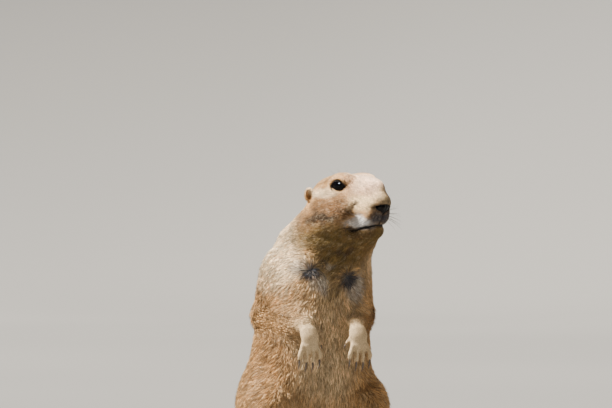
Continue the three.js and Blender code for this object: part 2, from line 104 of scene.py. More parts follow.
EYES = (middle("eye_left") + middle("eye_right")) / 2
SHIFT = EYES - Vector(EYES_MIDPOINT) * MM
TURN = np.array(
    [
        [math.cos(HEAD_TURN), math.sin(HEAD_TURN), 0.0],
        [math.sin(HEAD_TURN), -math.cos(HEAD_TURN), 0.0],
        [0.0, 0.0, 1.0],
    ]
)


def body_point(p):
    """A point of the animal's frame, in metres where it stands."""
    return Vector(p) * MM + SHIFT


def head_direction(d):
    """A direction [left, forward, up] of the head, where it stands."""
    return Vector(TURN @ np.array(d, float)).normalized()


def head_point(p):
    """A point [left, forward, up] of the head, in metres where it stands."""
    return Vector(TURN @ np.array(p, float)) * MM + EYES


def mirrored(p, side):
    """A point of the left side, on this side of the body."""
    return (p[0] * side, p[1], p[2])


# Lines along which the coat lies. Each point ends with the length of the hair there.
# The lines of the head are in its own frame, and those of a pair are given for the left side.

HEAD_MIDLINES = [
    # over the crown
    [
        (0, 33, -12, 1.8), (0, 27, -4, 2.2), (0, 16, 3, 2.6),
        (0, 0, 5, 3.2), (0, -16, 7, 4.2), (0, -32, -4, 6.0),
    ],
    # chin and throat
    [(0, 31, -34, 1.8), (0, 24, -42, 2.4), (0, 10, -46, 3.2), (0, -4, -52, 4.6), (0, -16, -60, 6.5)],
    # upper lip
    [(0, 35, -24, 1.4), (0, 34, -29, 1.4)],
]
HEAD_PAIRS = [
    # front of the ear
    [(20, -21, -13, 1.6), (23, -25, -10, 1.3), (26, -27, -5, 1.1)],
    # back of the ear
    [(20, -28, -15, 1.8), (24, -29, -10, 1.4), (26, -29, -4, 1.1)],
    # over the brow
    [
        (8, 32, -14, 1.8), (13, 24, -8, 2.2), (15, 12, -4, 2.4),
        (14, 8, 1, 2.4), (13, -2, 8, 2.8), (14, -18, 5, 4.0),
    ],
    # under the eye
    [(9, 31, -17, 1.8), (14, 20, -14, 2.4), (18, 8, -11, 2.6), (20, -6, -12, 3.2), (23, -18, -16, 4.2)],
    # behind the eye
    [(20, -10, -5, 2.8), (22, -18, -6, 3.0), (24, -30, -12, 4.6), (22, -40, -24, 6.5)],
    # upper lip and cheek
    [(7, 33, -23, 1.6), (12, 24, -24, 2.4), (18, 12, -24, 3.2), (23, -2, -28, 4.2), (27, -18, -34, 5.6)],
    # mouth and cheek
    [(6, 31, -29, 1.5), (11, 24, -31, 2.0), (16, 12, -31, 2.6), (22, 0, -37, 4.2), (26, -16, -46, 6.0)],
    # chin and jaw
    [(6, 30, -35, 1.6), (11, 20, -39, 2.4), (17, 6, -43, 3.4), (21, -8, -50, 5.2)],
]
BODY_MIDLINES = [
    # nape and back
    [
        (8, -6, 222, 6.5), (3, 10, 205, 7.5), (0, 24, 185, 8.5),
        (0, 32, 160, 9), (0, 36, 132, 9), (0, 46, 105, 9.5),
    ],
    # rump
    [(0, 46, 105, 9.5), (0, 66, 78, 10), (0, 78, 50, 10), (0, 80, 28, 9), (0, 74, 8, 6)],
    # throat and chest
    [(14, -54, 184, 6.5), (9, -47, 174, 7), (2, -41, 160, 7), (0, -40, 140, 7.5), (0, -38, 112, 8)],
    # belly
    [(0, -38, 112, 8), (0, -38, 85, 8), (0, -34, 55, 8), (0, -22, 22, 7), (0, 0, 4, 5), (0, 40, 4, 5)],
]
BODY_PAIRS = [
    # side of the neck
    [(36, -18, 200, 7), (38, -6, 186, 8), (42, 2, 172, 9), (46, 10, 158, 9.5)],
    # beside the spine
    [
        (28, 14, 196, 8), (34, 20, 170, 9), (38, 26, 140, 9),
        (42, 34, 105, 9.5), (44, 46, 75, 10), (38, 66, 40, 10),
    ],
    # shoulder
    [(46, -4, 168, 8.5), (50, 2, 148, 8), (52, 8, 128, 6.5)],
    # arm
    [
        (52, 4, 126, 6), (46, -16, 123, 5), (34, -34, 120, 4),
        (24, -46, 116, 3), (21, -54, 108, 2.4), (20, -56, 92, 2),
    ],
    # breast
    [(20, -40, 150, 7), (28, -30, 140, 7), (34, -18, 132, 7)],
    # flank and thigh
    [
        (40, -16, 105, 8), (46, -4, 92, 8.5), (54, 8, 80, 9),
        (58, 22, 60, 9), (56, 30, 36, 8.5), (44, 40, 12, 7),
    ],
    # front of the thigh
    [(44, -32, 72, 7.5), (54, -26, 56, 7.5), (54, -16, 38, 7), (44, -8, 20, 5.5)],
    # inside of the thigh
    [(30, -30, 60, 7), (36, -26, 36, 6), (34, -12, 20, 5)],
    # foot
    [(32, 0, 15, 3.4), (34, -16, 14, 2.8), (37, -34, 11, 2.2), (37, -47, 6, 1.8)],
]
TAIL_HAIR = (8, 11, 14, 17, 18)

# Places where the coat parts and lies outward all round: [place, reach, strength]
WHORLS = [((-16.5, -38.0, 161.0), 15.0, 1.8), ((16.6, -39.2, 155.0), 15.0, 1.8)]

# Soft forms that are pushed out of the skin or into it: [place, half sizes, push, frame of the place]
FORMS = [
    ((0, 12, 2), (5, 12, 8), -0.5, "head"),  # between the brows
    ((0, 32, -26), (4, 7, 5), 1.5, "head"),  # lip under the nose
    ((0, 34, -27), (1.6, 6, 6), -0.7, "head"),  # cleft of the lip
    ((8, -49, 177.5), (4, 6, 1.8), -1.4, "body"),  # folds of the throat
    ((14, -51, 180.5), (4, 6, 1.8), -1.4, "body"),  # folds of the throat
    ((6, -48, 170), (12, 8, 4), 1.0, "body"),  # roll below the folds
    ((36, -54, 180), (14, 14, 16), 1.7, "body"),  # left of the throat
    ((37, -50, 160), (12, 14, 16), 1.2, "body"),  # left of the chest
    ((-28, 4, 193), (14, 16, 14), 1.6, "body"),  # nape
]
PAIRED_FORMS = [
    ((12, 22, -27), (6, 8, 6), 0.6, "head"),  # pad of the whiskers
    ((9, 31, -27), (4.5, 6, 6), -0.8, "head"),  # front corner of the lip
    ((15, 21, -9), (4.5, 10, 5), -1.5, "head"),  # side of the bridge
    ((17, 13, -25), (5, 4, 8), -0.7, "head"),  # behind the pad
    ((17.5, 16, -17), (4, 4, 3), -0.8, "head"),  # hollow under the eye
    ((21, -55, 102.5), (9, 6, 2.6), 1.3, "body"),  # back of the wrist
    ((16, 6, 6), (7, 9, 3.5), 0.8, "head"),  # brow
    ((11, 19, 3), (8, 9, 6.5), 1.6, "head"),  # forehead
    ((6, 27, -6), (8, 7, 4.5), -1.5, "head"),  # bridge of the muzzle
    ((18, 11.5, -5), (5, 5, 5), -0.7, "head"),  # front corner of the eye
    ((26, -3, -28), (9, 14, 11), 1.2, "head"),  # cheek
    ((24, 2, -42), (9, 14, 3.5), -1.2, "head"),  # below the cheek
    ((27, -22, -22), (9, 6, 14), -0.8, "head"),  # behind the cheek
    ((45, -2, 180), (13, 18, 12), -2.6, "body"),  # side of the neck
]
# Grooves between the fingers
PAIRED_FORMS += [((21 + 4.9 * i, -57, 95), (1.0, 5, 6), -1.5, "body") for i in (-1, 0, 1)]

# Markings of skin and coat, and painted shade and light: [place, half sizes, colour, strength, frame of the
# place].
# Each is a soft patch, and they are laid over one another in this order.
MARKS_AND_SHADE = [
    ((0, -44, 88), (36, 30, 92), "buff", 0.85, "body"),  # belly
    # Painted shade: the olive of the throat and chest stands for the shadow under the head
    ((8, -48, 180), (34, 24, 26), "olive_shade", 0.92, "body"),  # throat
    ((0, -46, 156), (14, 20, 20), "olive_shade", 0.6, "body"),  # chest
    # The cream of the right side of the neck and shoulder is partly the coat's own pale colour and partly
    # painted light
    ((-33, -15, 183), (20, 26, 27), "cream", 1.0, "body"),  # right side of the neck
    ((-36, -22, 163), (20, 19, 19), "cream", 0.98, "body"),  # right shoulder
    ((34, -10, 182), (19, 24, 26), "cream", 0.5, "body"),  # left side of the neck
    # Painted shade on the left of the chest
    ((30, -36, 150), (16, 16, 18), "olive_shade", 0.6, "body"),  # left of the chest
    ((0, 40, 150), (34, 40, 70), "tawny", 0.7, "body"),  # back
    ((-8, -42, 153), (9, 12, 8), "ash", 0.6, "body"),  # round the whorls
    ((23, -37, 148), (11, 14, 11), "ash", 0.6, "body"),  # round the whorls
    ((-24, -36, 164), (8, 9, 4), "ash", 0.5, "body"),  # round the whorls
    ((-17, -39, 161), (6.5, 9, 6), "slate", 0.97, "body"),  # right whorl
    ((16.6, -40, 155), (6, 9, 7), "slate", 0.95, "body"),  # left whorl
    # The dark folds of the throat are painted shade in their creases, with some dark fur
    ((8, -49, 177.5), (4, 7, 1.5), "umber", 0.9, "body"),  # folds of the throat
    ((12, -51, 179.2), (4, 7, 1.5), "umber", 0.95, "body"),  # folds of the throat
    ((16, -51.5, 181.5), (4, 7, 1.4), "umber", 0.9, "body"),  # folds of the throat
    ((-1, -46, 168), (7, 9, 3.5), "ash", 0.5, "body"),  # above the whorls
    # This dark spot in the crease is painted shade with some dark fur
    ((-4.6, -43.7, 170.4), (3.5, 6, 2.4), "umber", 0.8, "body"),  # above the whorls
    ((0, 20, -1), (20, 30, 15), "fawn", 0.9, "head"),  # forehead and bridge
    ((0, 31, -11), (13, 10, 8), "buff", 0.9, "head"),  # end of the muzzle
    # Painted shade above the nose and on the chin
    ((0, 34, -12.5), (11, 8, 4), "olive_shade", 0.45, "head"),  # above the nose
    ((0, 26, -41), (18, 20, 10), "olive_shade", 0.9, "head"),  # chin
]
PAIRED_MARKS_AND_SHADE = [
    ((24, 0, -18), (14, 23, 12), "rust", 1.0, "head"),  # cheek
    ((24, 2, -20), (13, 19, 9), "umber", 0.22, "head"),  # cheek
    ((15, 22, -16), (8, 13, 7.5), "straw", 0.9, "head"),  # side of the muzzle
    # Painted shade on the jaw
    ((28, -10, -40), (16, 26, 12), "olive_shade", 0.85, "head"),  # jaw
    ((30, -18, -29), (12, 14, 10), "rust", 0.6, "head"),  # behind the cheek
    ((28.5, -4, -25.5), (10, 14, 5.2), "umber", 1.0, "head"),  # streaks of the cheek
    ((30, -15, -27.5), (9, 8, 4.2), "umber", 0.7, "head"),  # streaks of the cheek
    ((30, -12, -21), (8, 8, 2.2), "umber", 0.4, "head"),  # streaks of the cheek
    ((22, 6, -14), (8, 7, 2.4), "umber", 0.35, "head"),  # under the eye
    ((20, 9, -21), (6, 6, 2.2), "umber", 0.55, "head"),  # under the eye
    ((16, 7, 7), (7, 6, 3.2), "rust", 0.6, "head"),  # brow
    ((15.5, 9.5, 1), (6, 4.5, 8.5), "rust", 0.65, "head"),  # front of the eye
    ((18, -8, 1), (9, 10, 4), "tawny", 0.7, "head"),  # temple
    ((22, -9, -6.5), (10, 12, 5), "cream", 0.6, "head"),  # behind the eye
    ((24, -20, -5), (8, 10, 6), "cream", 0.6, "head"),  # in front of the ear
    ((24, -28.5, -7), (4.5, 5, 7), "rust", 0.5, "head"),  # rim of the ear
    ((22.5, -24.5, -12), (3.5, 4.5, 3.6), "rust", 0.85, "head"),  # inside of the ear
    ((12, 19, -30), (11, 14, 6), "white", 0.75, "head"),  # upper lip
    # The slate of the front of the lip is painted shade, with a cool painted reflection
    ((6, 32, -26.5), (9.1, 9.1, 9.1), "slate", 0.92, "head"),  # front of the lip
    ((0, 33, -27), (5, 9, 8), "slate", 0.6, "head"),  # front of the lip
    ((12, 23, -28.8), (4, 5.5, 3), "white", 0.8, "head"),  # upper lip
    # Painted shade round and below the nose pad, darkest beside the nostrils
    ((0, 30, -17.5), (14, 6.5, 5.6), "umber", 0.8, "head"),  # round the nose
    ((10.8, 28.5, -17.4), (2.6, 4, 2.6), "umber", 0.9, "head"),  # beside the nose
    # Painted shade in the corner of the mouth
    ((16.5, 12.5, -36.5), (5, 6.5, 2.6), "umber", 0.95, "head"),  # corner of the mouth
    ((12, 23, -34), (6, 8, 2.2), "slate", 0.85, "head"),  # lower lip
    # Painted shadow below the lip
    ((12, 22, -38), (11, 16, 5), "umber", 0.6, "head"),  # below the lip
    ((22, -50, 98), (16, 14, 26), "buff", 0.7, "body"),  # hands
    ((36, -20, 8), (18, 48, 14), "buff", 0.7, "body"),  # feet
]
# Specks below the eye
PAIRED_MARKS_AND_SHADE += [
    ((17.2 + 0.5 * i, 18 - 1.5 * i, -15.2 - 1.4 * i), (4, 2.2, 1.7), "umber", 0.85, "head")
    for i in range(4)
]

# Sizes and colours that can be changed


def colour_of(name, description, default):
    """A property that holds one colour."""
    return bpy.props.FloatVectorProperty(
        name=name, description=description, default=default, size=3, min=0.0, max=1.0, subtype="COLOR"
    )


class PrairieDogColours(bpy.types.PropertyGroup):
    """Colours of the coat's markings and painted shade, of the bare parts and of the floor."""

    tawny: colour_of("Tawny", "Back, flanks and crown", (0.52, 0.30, 0.125))
    buff: colour_of("Buff", "Belly, feet and the end of the muzzle", (0.74, 0.56, 0.34))
    # On the right side of the neck and the shoulder, cream is partly painted light
    cream: colour_of("Cream", "Side of the neck and round the eye", (1.0, 0.80, 0.54))
    straw: colour_of("Straw", "Sides of the muzzle", (0.88, 0.66, 0.38))
    fawn: colour_of("Fawn", "Forehead and top of the muzzle", (0.78, 0.565, 0.415))
    rust: colour_of("Rust", "Cheek, brow and inside of the ear", (0.235, 0.115, 0.044))
    # Olive is painted shade: throat, chest, chin and jaw darkened where they face down or lie under the
    # head
    olive_shade: colour_of("Olive", "Throat and chin", (0.175, 0.115, 0.033))
    # Umber also paints shade: in the throat's folds, round the nose, in the mouth's corners and below the
    # lip
    umber: colour_of("Umber", "Dark streaks of cheek and throat", (0.065, 0.038, 0.02))
    # On the front of the lip, slate is painted shade
    slate: colour_of("Slate", "Whorls of the chest and front of the lip", (0.033, 0.039, 0.055))
    ash: colour_of("Ash", "Pale grey hair round the whorls", (0.50, 0.48, 0.45))
    white: colour_of("White", "Patch on the upper lip", (0.90, 0.90, 0.91))
    brush: colour_of("Brush", "Black end of the tail", (0.045, 0.032, 0.024))
    hair_root: colour_of("Hair root", "Dark root of each hair", (0.085, 0.062, 0.05))
    eye: colour_of("Eye", "Iris", (0.004, 0.002, 0.0015))
    lid: colour_of("Lid", "Bare rim of the eyelids", (0.012, 0.008, 0.007))
    nose: colour_of("Nose", "Bare skin of the nose and the lips", (0.005, 0.004, 0.0035))
    claw: colour_of("Claw", "Horn of the claws", (0.075, 0.055, 0.040))
    whisker: colour_of("Whisker", "Whiskers", (0.05, 0.04, 0.033))
    floor: colour_of("Floor", "Floor of the stage", (0.225, 0.220, 0.212))


def paint(name, share=1.0):
    """One of the model's colours, darkened or lightened by this share."""
    return tuple(min(c * share, 1.0) for c in getattr(bpy.context.scene.prairie_dog_colours, name))


class PrairieDogSettings(bpy.types.PropertyGroup):
    """Sizes and amounts of the model's dress."""

    voxel: bpy.props.FloatProperty(
        name="Skin fineness",
        description="Cell of the grid that the skin is drawn on",
        default=0.0008,
        unit="LENGTH",
    )
    smoothing: bpy.props.IntProperty(
        name="Skin smoothing", description="Rounds of smoothing on the trunk", default=70
    )
    skin_faces: bpy.props.IntProperty(
        name="Skin triangles", description="Triangles that the skin keeps", default=190000
    )
    depth: bpy.props.FloatProperty(
        name="Coat depth",
        description="Depth of the coat as a share of the hair's length",
        default=0.25,
        subtype="FACTOR",
    )
    thickness: bpy.props.FloatProperty(
        name="Tuft width",
        description="Width of a tuft where the hair is 8 mm long",
        default=0.00062,
        unit="LENGTH",
    )
    lift: bpy.props.FloatProperty(
        name="Coat lift",
        description="Angle at which a tuft leaves the skin",
        default=math.radians(24),
        subtype="ANGLE",
    )
    clumping: bpy.props.FloatProperty(
        name="Clumping", description="How far tips draw together into locks", default=0.4, subtype="FACTOR"
    )
    whisker_length: bpy.props.FloatProperty(
        name="Whisker length", description="Length of the longest whisker", default=0.026, unit="LENGTH"
    )
    camera_distance: bpy.props.FloatProperty(
        name="Camera distance", description="From the eyes to the camera", default=3.0, unit="LENGTH"
    )
    key_light: bpy.props.FloatProperty(
        name="Key light", description="Strength of the light from above", default=17.0
    )


# Small helpers


def only_select(*objects):
    """Selects these objects alone and makes the first active."""
    if bpy.context.object and bpy.context.object.mode != "OBJECT":
        bpy.ops.object.mode_set(mode="OBJECT")
    bpy.ops.object.select_all(action="DESELECT")
    for obj in objects:
        obj.select_set(True)
    bpy.context.view_layer.objects.active = objects[0]


def apply_modifier(obj, kind, **values):
    """Adds a modifier to an object, sets its values and applies it."""
    only_select(obj)
    modifier = obj.modifiers.new(kind.title(), kind)
    for name, value in values.items():
        setattr(modifier, name, value)
    bpy.ops.object.modifier_apply(modifier=modifier.name)


def new_object(name, data):
    """An object of this data in the scene."""
    obj = bpy.data.objects.new(name, data)
    bpy.context.scene.collection.objects.link(obj)
    return obj


def edit_all_of(obj):
    """Opens an object's mesh for editing, with all of it selected."""
    only_select(obj)
    bpy.ops.object.mode_set(mode="EDIT")
    bpy.ops.mesh.select_all(action="SELECT")


def copy_of(node, name):
    """A copy of a solid with its loose triangles merged, as an object of its own."""
    obj = new_object(name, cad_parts[node].data.copy())
    obj.data.materials.clear()
    edit_all_of(obj)
    bpy.ops.mesh.remove_doubles(threshold=1e-6)
    bpy.ops.object.mode_set(mode="OBJECT")
    return obj


def in_place(obj):
    """Puts an object's place, turn and size into its mesh."""
    only_select(obj)
    bpy.ops.object.transform_apply(location=True, rotation=True, scale=True)


def finished(obj, material, slot, *replaced):
    """Gives a piece its material and lets it ride on the body; the slot it is given is not used."""
    obj.data.materials.clear()
    obj.data.materials.append(material)
    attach(obj, BODY)
    if replaced:
        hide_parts(*replaced)


def points_of(mesh):
    """The places of a mesh's vertices, a row for each."""
    co = np.empty(len(mesh.vertices) * 3)
    mesh.vertices.foreach_get("co", co)
    return co.reshape(-1, 3)


def move_points(mesh, points):
    """Puts a mesh's vertices at these places."""
    mesh.vertices.foreach_set("co", points.astype(np.float32).ravel())
    mesh.update()


def normals_of(mesh):
    """The directions out of a mesh at its vertices, a row for each."""
    normals = np.empty(len(mesh.vertices) * 3, np.float32)
    mesh.vertex_normals.foreach_get("vector", normals)
    return normals.reshape(-1, 3)


def note(mesh, name, values):
    """Keeps a number or a vector for each vertex under this name, for the material to read."""
    vectors = values.ndim == 2
    attribute = mesh.attributes.new(name, "FLOAT_VECTOR" if vectors else "FLOAT", "POINT")
    attribute.data.foreach_set("vector" if vectors else "value", values.astype(np.float32).ravel())


def unit(rows):
    """The rows, each brought to a length of 1."""
    return rows / np.maximum(np.linalg.norm(rows, axis=-1, keepdims=True), 1e-12)


def in_head(points):
    """Points where they stand, as [left, forward, up] of the head in millimetres."""
    return (points - np.array(EYES)) / MM @ TURN


def in_body(points):
    """Points where they stand, in millimetres of the body's frame."""
    return (points - np.array(SHIFT)) / MM


def ball_distance(points, centre, radii):
    """How far points lie from a centre, as a share of these half sizes."""
    return np.linalg.norm((points - np.array(centre)) / np.array(radii), axis=1)


def on_each_side(rows, paired_rows):
    """All rows, those of a pair once for each side."""
    out = list(rows)
    for place, *rest in paired_rows:
        out += [(mirrored(place, side), *rest) for side in SIDES.values()]
    return out


def smooth_step(low, high, x):
    """From 0 at one value to 1 at the other, level at both ends."""
    t = np.clip((x - low) / (high - low), 0, 1)
    return t * t * (3 - 2 * t)


# Parts of the body


def head_share(points):
    """1 on the head."""
    head = in_head(points)
    return smooth_step(-34, -20, head[:, 1]) * smooth_step(-56, -46, head[:, 2])


def tail_share(points):
    """1 on the tail."""
    return smooth_step(74, 84, in_body(points)[:, 1])


def paw_share(points):
    """1 on the forepaws and the hind feet."""
    body = in_body(points)
    aside, forward, height = np.abs(body[:, 0]), -body[:, 1], body[:, 2]
    hand = smooth_step(38, 44, forward) * smooth_step(122, 116, height) * smooth_step(76, 80, height)
    foot = smooth_step(17, 12, height) * smooth_step(2, 12, forward) * smooth_step(18, 24, aside)
    return np.clip(hand + foot, 0, 1)


def trunk_share(points):
    """1 on the body and the limbs, and up to 1.8 on the chest and neck, whose coat is denser."""
    rest = (1 - head_share(points)) * (1 - tail_share(points)) * (1 - paw_share(points))
    return rest * (1 + 0.8 * smooth_step(120, 150, in_body(points)[:, 2]))


# The lie of the coat


def lie_segments():
    """The middle, direction and hair length of each step of each line, where they stand."""
    rows = []

    def add(line, place):
        for a, b in zip(line, line[1:]):
            p, q = place(a[:3]), place(b[:3])
            rows.append((*((p + q) / 2), *(q - p).normalized(), (a[3] + b[3]) / 2))

    for lines, pairs, place in (
        (HEAD_MIDLINES, HEAD_PAIRS, head_point),
        (BODY_MIDLINES, BODY_PAIRS, body_point),
    ):
        for line in lines:
            add(line, place)
        for line in pairs:
            for side in SIDES.values():
                add([(p[0] * side, *p[1:]) for p in line], place)
    add([(*p, hair) for p, hair in zip(TAIL_LINE, TAIL_HAIR)], body_point)
    table = np.array(rows)
    return table[:, :3], table[:, 3:6], table[:, 6]


SEGMENTS = lie_segments()


LINE_REACH = 3  # distance in millimetres within which neighbouring lines blend
EYE_PARTING = 1.6  # how strongly the coat turns away from the eyes
POINTS_AT_ONCE = 20000


def coat_at(points, normals=None):
    """The hair's length in metres at these points and, where normals are given, its direction."""
    middles, directions, lengths = SEGMENTS
    out_length = np.empty(len(points))
    out_direction = np.empty((len(points), 3))
    for start in range(0, len(points), POINTS_AT_ONCE):
        part = slice(start, start + POINTS_AT_ONCE)
        away = points[part, None, :] - middles[None, :, :]
        squared = (away**2).sum(-1) / MM**2
        weight = 1 / (squared + LINE_REACH**2) ** 2
        weight /= weight.sum(1, keepdims=True)
        out_length[part] = weight @ lengths * MM
        out_direction[part] = weight @ directions
    if normals is None:
        return out_length, None
    for place, reach, strength in WHORLS:
        away = points - np.array(body_point(place))
        distance = np.linalg.norm(away, axis=1) / MM
        out_direction += unit(away) * (strength * np.exp(-((distance / reach) ** 2)))[:, None]
    for side in SIDES.values():
        away = points - np.array(head_point(mirrored(EYE, side)))
        distance = np.linalg.norm(away, axis=1) / MM
        strength = EYE_PARTING * np.exp(-np.maximum(distance - 6, 0) / 2.2)
        out_direction += unit(away) * strength[:, None]
    out_direction -= normals * (out_direction * normals).sum(1, keepdims=True)
    return out_length, unit(out_direction)


# Materials


class Nodes:
    """A small hand for building a material's or a group's nodes."""

    def __init__(self, tree):
        self.tree = tree

    def add(self, kind, inputs=None, **settings):
        """A node of this kind with its settings, its inputs linked or set."""
        node = self.tree.nodes.new("ShaderNode" + kind)
        for name, value in settings.items():
            setattr(node, name, value)
        for key, value in (inputs or {}).items():
            if isinstance(value, bpy.types.NodeSocket):
                self.tree.links.new(value, node.inputs[key])
            else:
                node.inputs[key].default_value = value
        return node

    def math(self, operation, a, b=0.0):
        """The result of a sum of two numbers."""
        return self.add("Math", {0: a, 1: b}, operation=operation).outputs[0]

    def vector(self, operation, a, b=(0, 0, 0)):
        """The result of a sum of two vectors, or the length of one."""
        node = self.add("VectorMath", {0: a, 1: b}, operation=operation)
        return node.outputs["Value" if operation == "LENGTH" else "Vector"]

    def grey(self, value):
        """A number as a colour."""
        return self.add("CombineColor", {0: value, 1: value, 2: value}).outputs[0]

    def mix(self, share, a, b, blend="MIX"):
        """One colour laid over another by this share."""
        node = self.add("Mix", data_type="RGBA", blend_type=blend)
        for socket, value in ((0, share), (6, a), (7, b)):
            if isinstance(value, bpy.types.NodeSocket):
                self.tree.links.new(value, node.inputs[socket])
            elif socket:
                node.inputs[socket].default_value = (*value, 1.0)[:4]
            else:
                node.inputs[socket].default_value = value
        return node.outputs[2]

    def ramp(self, value, low, high, to_low=0.0, to_high=1.0, smooth=True):
        """A number carried from one range into another."""
        kind = "SMOOTHSTEP" if smooth else "LINEAR"
        inputs = {0: value, 1: low, 2: high, 3: to_low, 4: to_high}
        return self.add("MapRange", inputs, interpolation_type=kind).outputs[0]

    def noise(self, place, scale, detail=2.0, output="Fac"):
        """Soft cloudy noise, with this many cells to the metre."""
        inputs = {"Vector": place, "Scale": scale, "Detail": detail}
        return self.add("TexNoise", inputs).outputs[output]

    def place(self):
        """The place on the piece, in metres."""
        return self.add("TexCoord").outputs["Object"]

    def noted(self, name, output="Fac"):
        """What the piece's mesh keeps under this name."""
        return self.add("Attribute", attribute_name=name).outputs[output]


def new_material(name):
    """An empty material, and the hand that builds its nodes."""
    material = bpy.data.materials.new(name)
    material.use_nodes = True
    material.node_tree.nodes.clear()
    return material, Nodes(material.node_tree)


def shader(nodes, inputs, normal=None):
    """A Principled shader joined to the output."""
    if normal is not None:
        inputs["Normal"] = normal
    principled = nodes.add("BsdfPrincipled", inputs)
    nodes.add("OutputMaterial", {0: principled.outputs[0]})


MARKING_WAVER = 0.011  # how far the edges of markings wander, in metres
MARKING_STREAKS = 0.55  # how far a lock's tone moves an edge, as a share of the marking's half size
WIDE = 9  # least half size of a wide marking, whose edge is softer
WIDE_EDGE = (1.45, 0.3)  # where a marking starts and where it is full, as shares of its half size
NARROW_EDGE = (1.25, 0.45)


def markings_group():
    """The animal's markings, with the painted shade and light among them, as a node group: a place and its
    lock's tone in, the colour out.
    """
    group = bpy.data.node_groups.new("Prairie dog markings", "ShaderNodeTree")
    group.interface.new_socket("Place", in_out="INPUT", socket_type="NodeSocketVector")
    group.interface.new_socket("Lock", in_out="INPUT", socket_type="NodeSocketFloat")
    group.interface.new_socket("Colour", in_out="OUTPUT", socket_type="NodeSocketColor")
    nodes = Nodes(group)
    start = group.nodes.new("NodeGroupInput")
    waver = nodes.noise(start.outputs[0], 90.0, 3.0, "Color")
    waver = nodes.vector("SUBTRACT", waver, (0.5, 0.5, 0.5))
    waver = nodes.vector("MULTIPLY", waver, (MARKING_WAVER, MARKING_WAVER, MARKING_WAVER))
    place = nodes.vector("ADD", start.outputs[0], waver)
    from_body = nodes.vector("SUBTRACT", place, tuple(SHIFT))
    from_eyes = nodes.vector("SUBTRACT", place, tuple(EYES))
    turned = nodes.add(
        "VectorRotate", {"Vector": from_eyes, "Angle": -HEAD_TURN}, rotation_type="Z_AXIS"
    ).outputs[0]
    plain = {
        "body": nodes.vector("MULTIPLY", from_body, (1 / MM, 1 / MM, 1 / MM)),
        "head": nodes.vector("MULTIPLY", turned, (1 / MM, -1 / MM, 1 / MM)),
    }
    folded = {}
    for where, vector in plain.items():
        aside = nodes.add("SeparateXYZ", {0: nodes.vector("ABSOLUTE", vector)}).outputs[0]
        rest = nodes.add("SeparateXYZ", {0: vector}).outputs
        folded[where] = nodes.add("CombineXYZ", {0: aside, 1: rest[1], 2: rest[2]}).outputs[0]
    uneven = nodes.math("MULTIPLY", nodes.math("SUBTRACT", start.outputs[1], 0.5), MARKING_STREAKS)
    colour = paint("tawny")
    rows = [(plain, row) for row in MARKS_AND_SHADE] + [(folded, row) for row in PAIRED_MARKS_AND_SHADE]
    for frames, (centre, sizes, name, strength, where) in rows:
        away = nodes.vector("SUBTRACT", frames[where], centre)
        away = nodes.vector("MULTIPLY", away, tuple(1 / s for s in sizes))
        distance = nodes.math("ADD", nodes.vector("LENGTH", away), uneven)
        outer, inner = WIDE_EDGE if min(sizes) > WIDE else NARROW_EDGE
        share = nodes.ramp(distance, outer, inner, 0.0, strength)
        colour = nodes.mix(share, colour, paint(name))
    end = group.nodes.new("NodeGroupOutput")
    group.links.new(colour, end.inputs[0])
    return group


def markings(nodes, place, lock=0.5):
    """The colour of the markings, painted shade and light included, at a place of the skin."""
    name = "Prairie dog markings"
    group = bpy.data.node_groups.get(name) or markings_group()
    return nodes.add("Group", {0: place, 1: lock}, node_tree=group).outputs[0]


def skin_material():
    """Short underfur over the skin: the markings, darker and broken by fine bumps that run every way."""
    material, nodes = new_material("Underfur")
    place = nodes.place()
    grain = nodes.noise(place, 1400.0, 3.0)
    dark = nodes.ramp(grain, 0.35, 0.65, 0.55, 0.85)
    colour = nodes.mix(1.0, markings(nodes, place), nodes.grey(dark), "MULTIPLY")
    colour = nodes.mix(nodes.noted("bare_edge"), colour, paint("nose", 1.6))
    bump = nodes.add("Bump", {"Strength": 0.5, "Distance": 0.0004, "Height": grain}).outputs[0]
    shader(nodes, {"Base Color": colour, "Roughness": 0.85, "Specular IOR Level": 0.15}, bump)
    return material


def hair_tones(nodes, colour, root, streak):
    """A colour made lighter and darker from hair to hair, from lock to lock and over the body."""
    value = nodes.ramp(nodes.noted("chance"), 0.0, 1.0, 0.55, 1.42, smooth=False)
    for tone in (
        nodes.ramp(nodes.noted("lock"), 0.0, 1.0, 0.6, 1.34, smooth=False),
        nodes.ramp(streak, 0.3, 0.7, 0.82, 1.16),
        nodes.ramp(nodes.noise(root, 420.0, 1.0), 0.3, 0.7, 0.84, 1.14),
    ):
        value = nodes.math("MULTIPLY", value, tone)
    return nodes.mix(1.0, colour, nodes.grey(value), "MULTIPLY")


def hair_shader(nodes, colour):
    """The finish of all hair."""
    shader(nodes, {"Base Color": colour, "Roughness": 0.58, "Specular IOR Level": 0.3})


def coat_material():
    """Hair that is slate at its root, takes the markings' colour and at times ends dark or pale."""
    material, nodes = new_material("Coat")
    root = nodes.noted("root_place", "Vector")
    along, chance = nodes.noted("along_hair"), nodes.noted("chance")
    patches = nodes.noise(root, 290.0, 3.0)
    colour = markings(nodes, root, nodes.noted("lock"))
    colour = nodes.mix(nodes.ramp(patches, 0.52, 0.72, 0.0, 0.4), colour, paint("rust", 1.3))
    colour = nodes.mix(nodes.ramp(patches, 0.44, 0.30, 0.0, 0.25), colour, paint("cream"))
    colour = hair_tones(nodes, colour, root, nodes.noise(root, 170.0))
    colour = nodes.mix(nodes.ramp(along, 0.05, 0.4, 0.4, 0.0), colour, paint("hair_root"))
    for near_tip, some_hairs, tip_colour in (
        (nodes.ramp(along, 0.7, 0.95), nodes.ramp(chance, 0.87, 0.90, 0.0, 0.75), paint("umber")),
        (nodes.ramp(along, 0.55, 0.9), nodes.ramp(chance, 0.16, 0.10, 0.0, 0.6), paint("cream", 0.9)),
    ):
        colour = nodes.mix(nodes.math("MULTIPLY", near_tip, some_hairs), colour, tip_colour)
    hair_shader(nodes, colour)
    return material


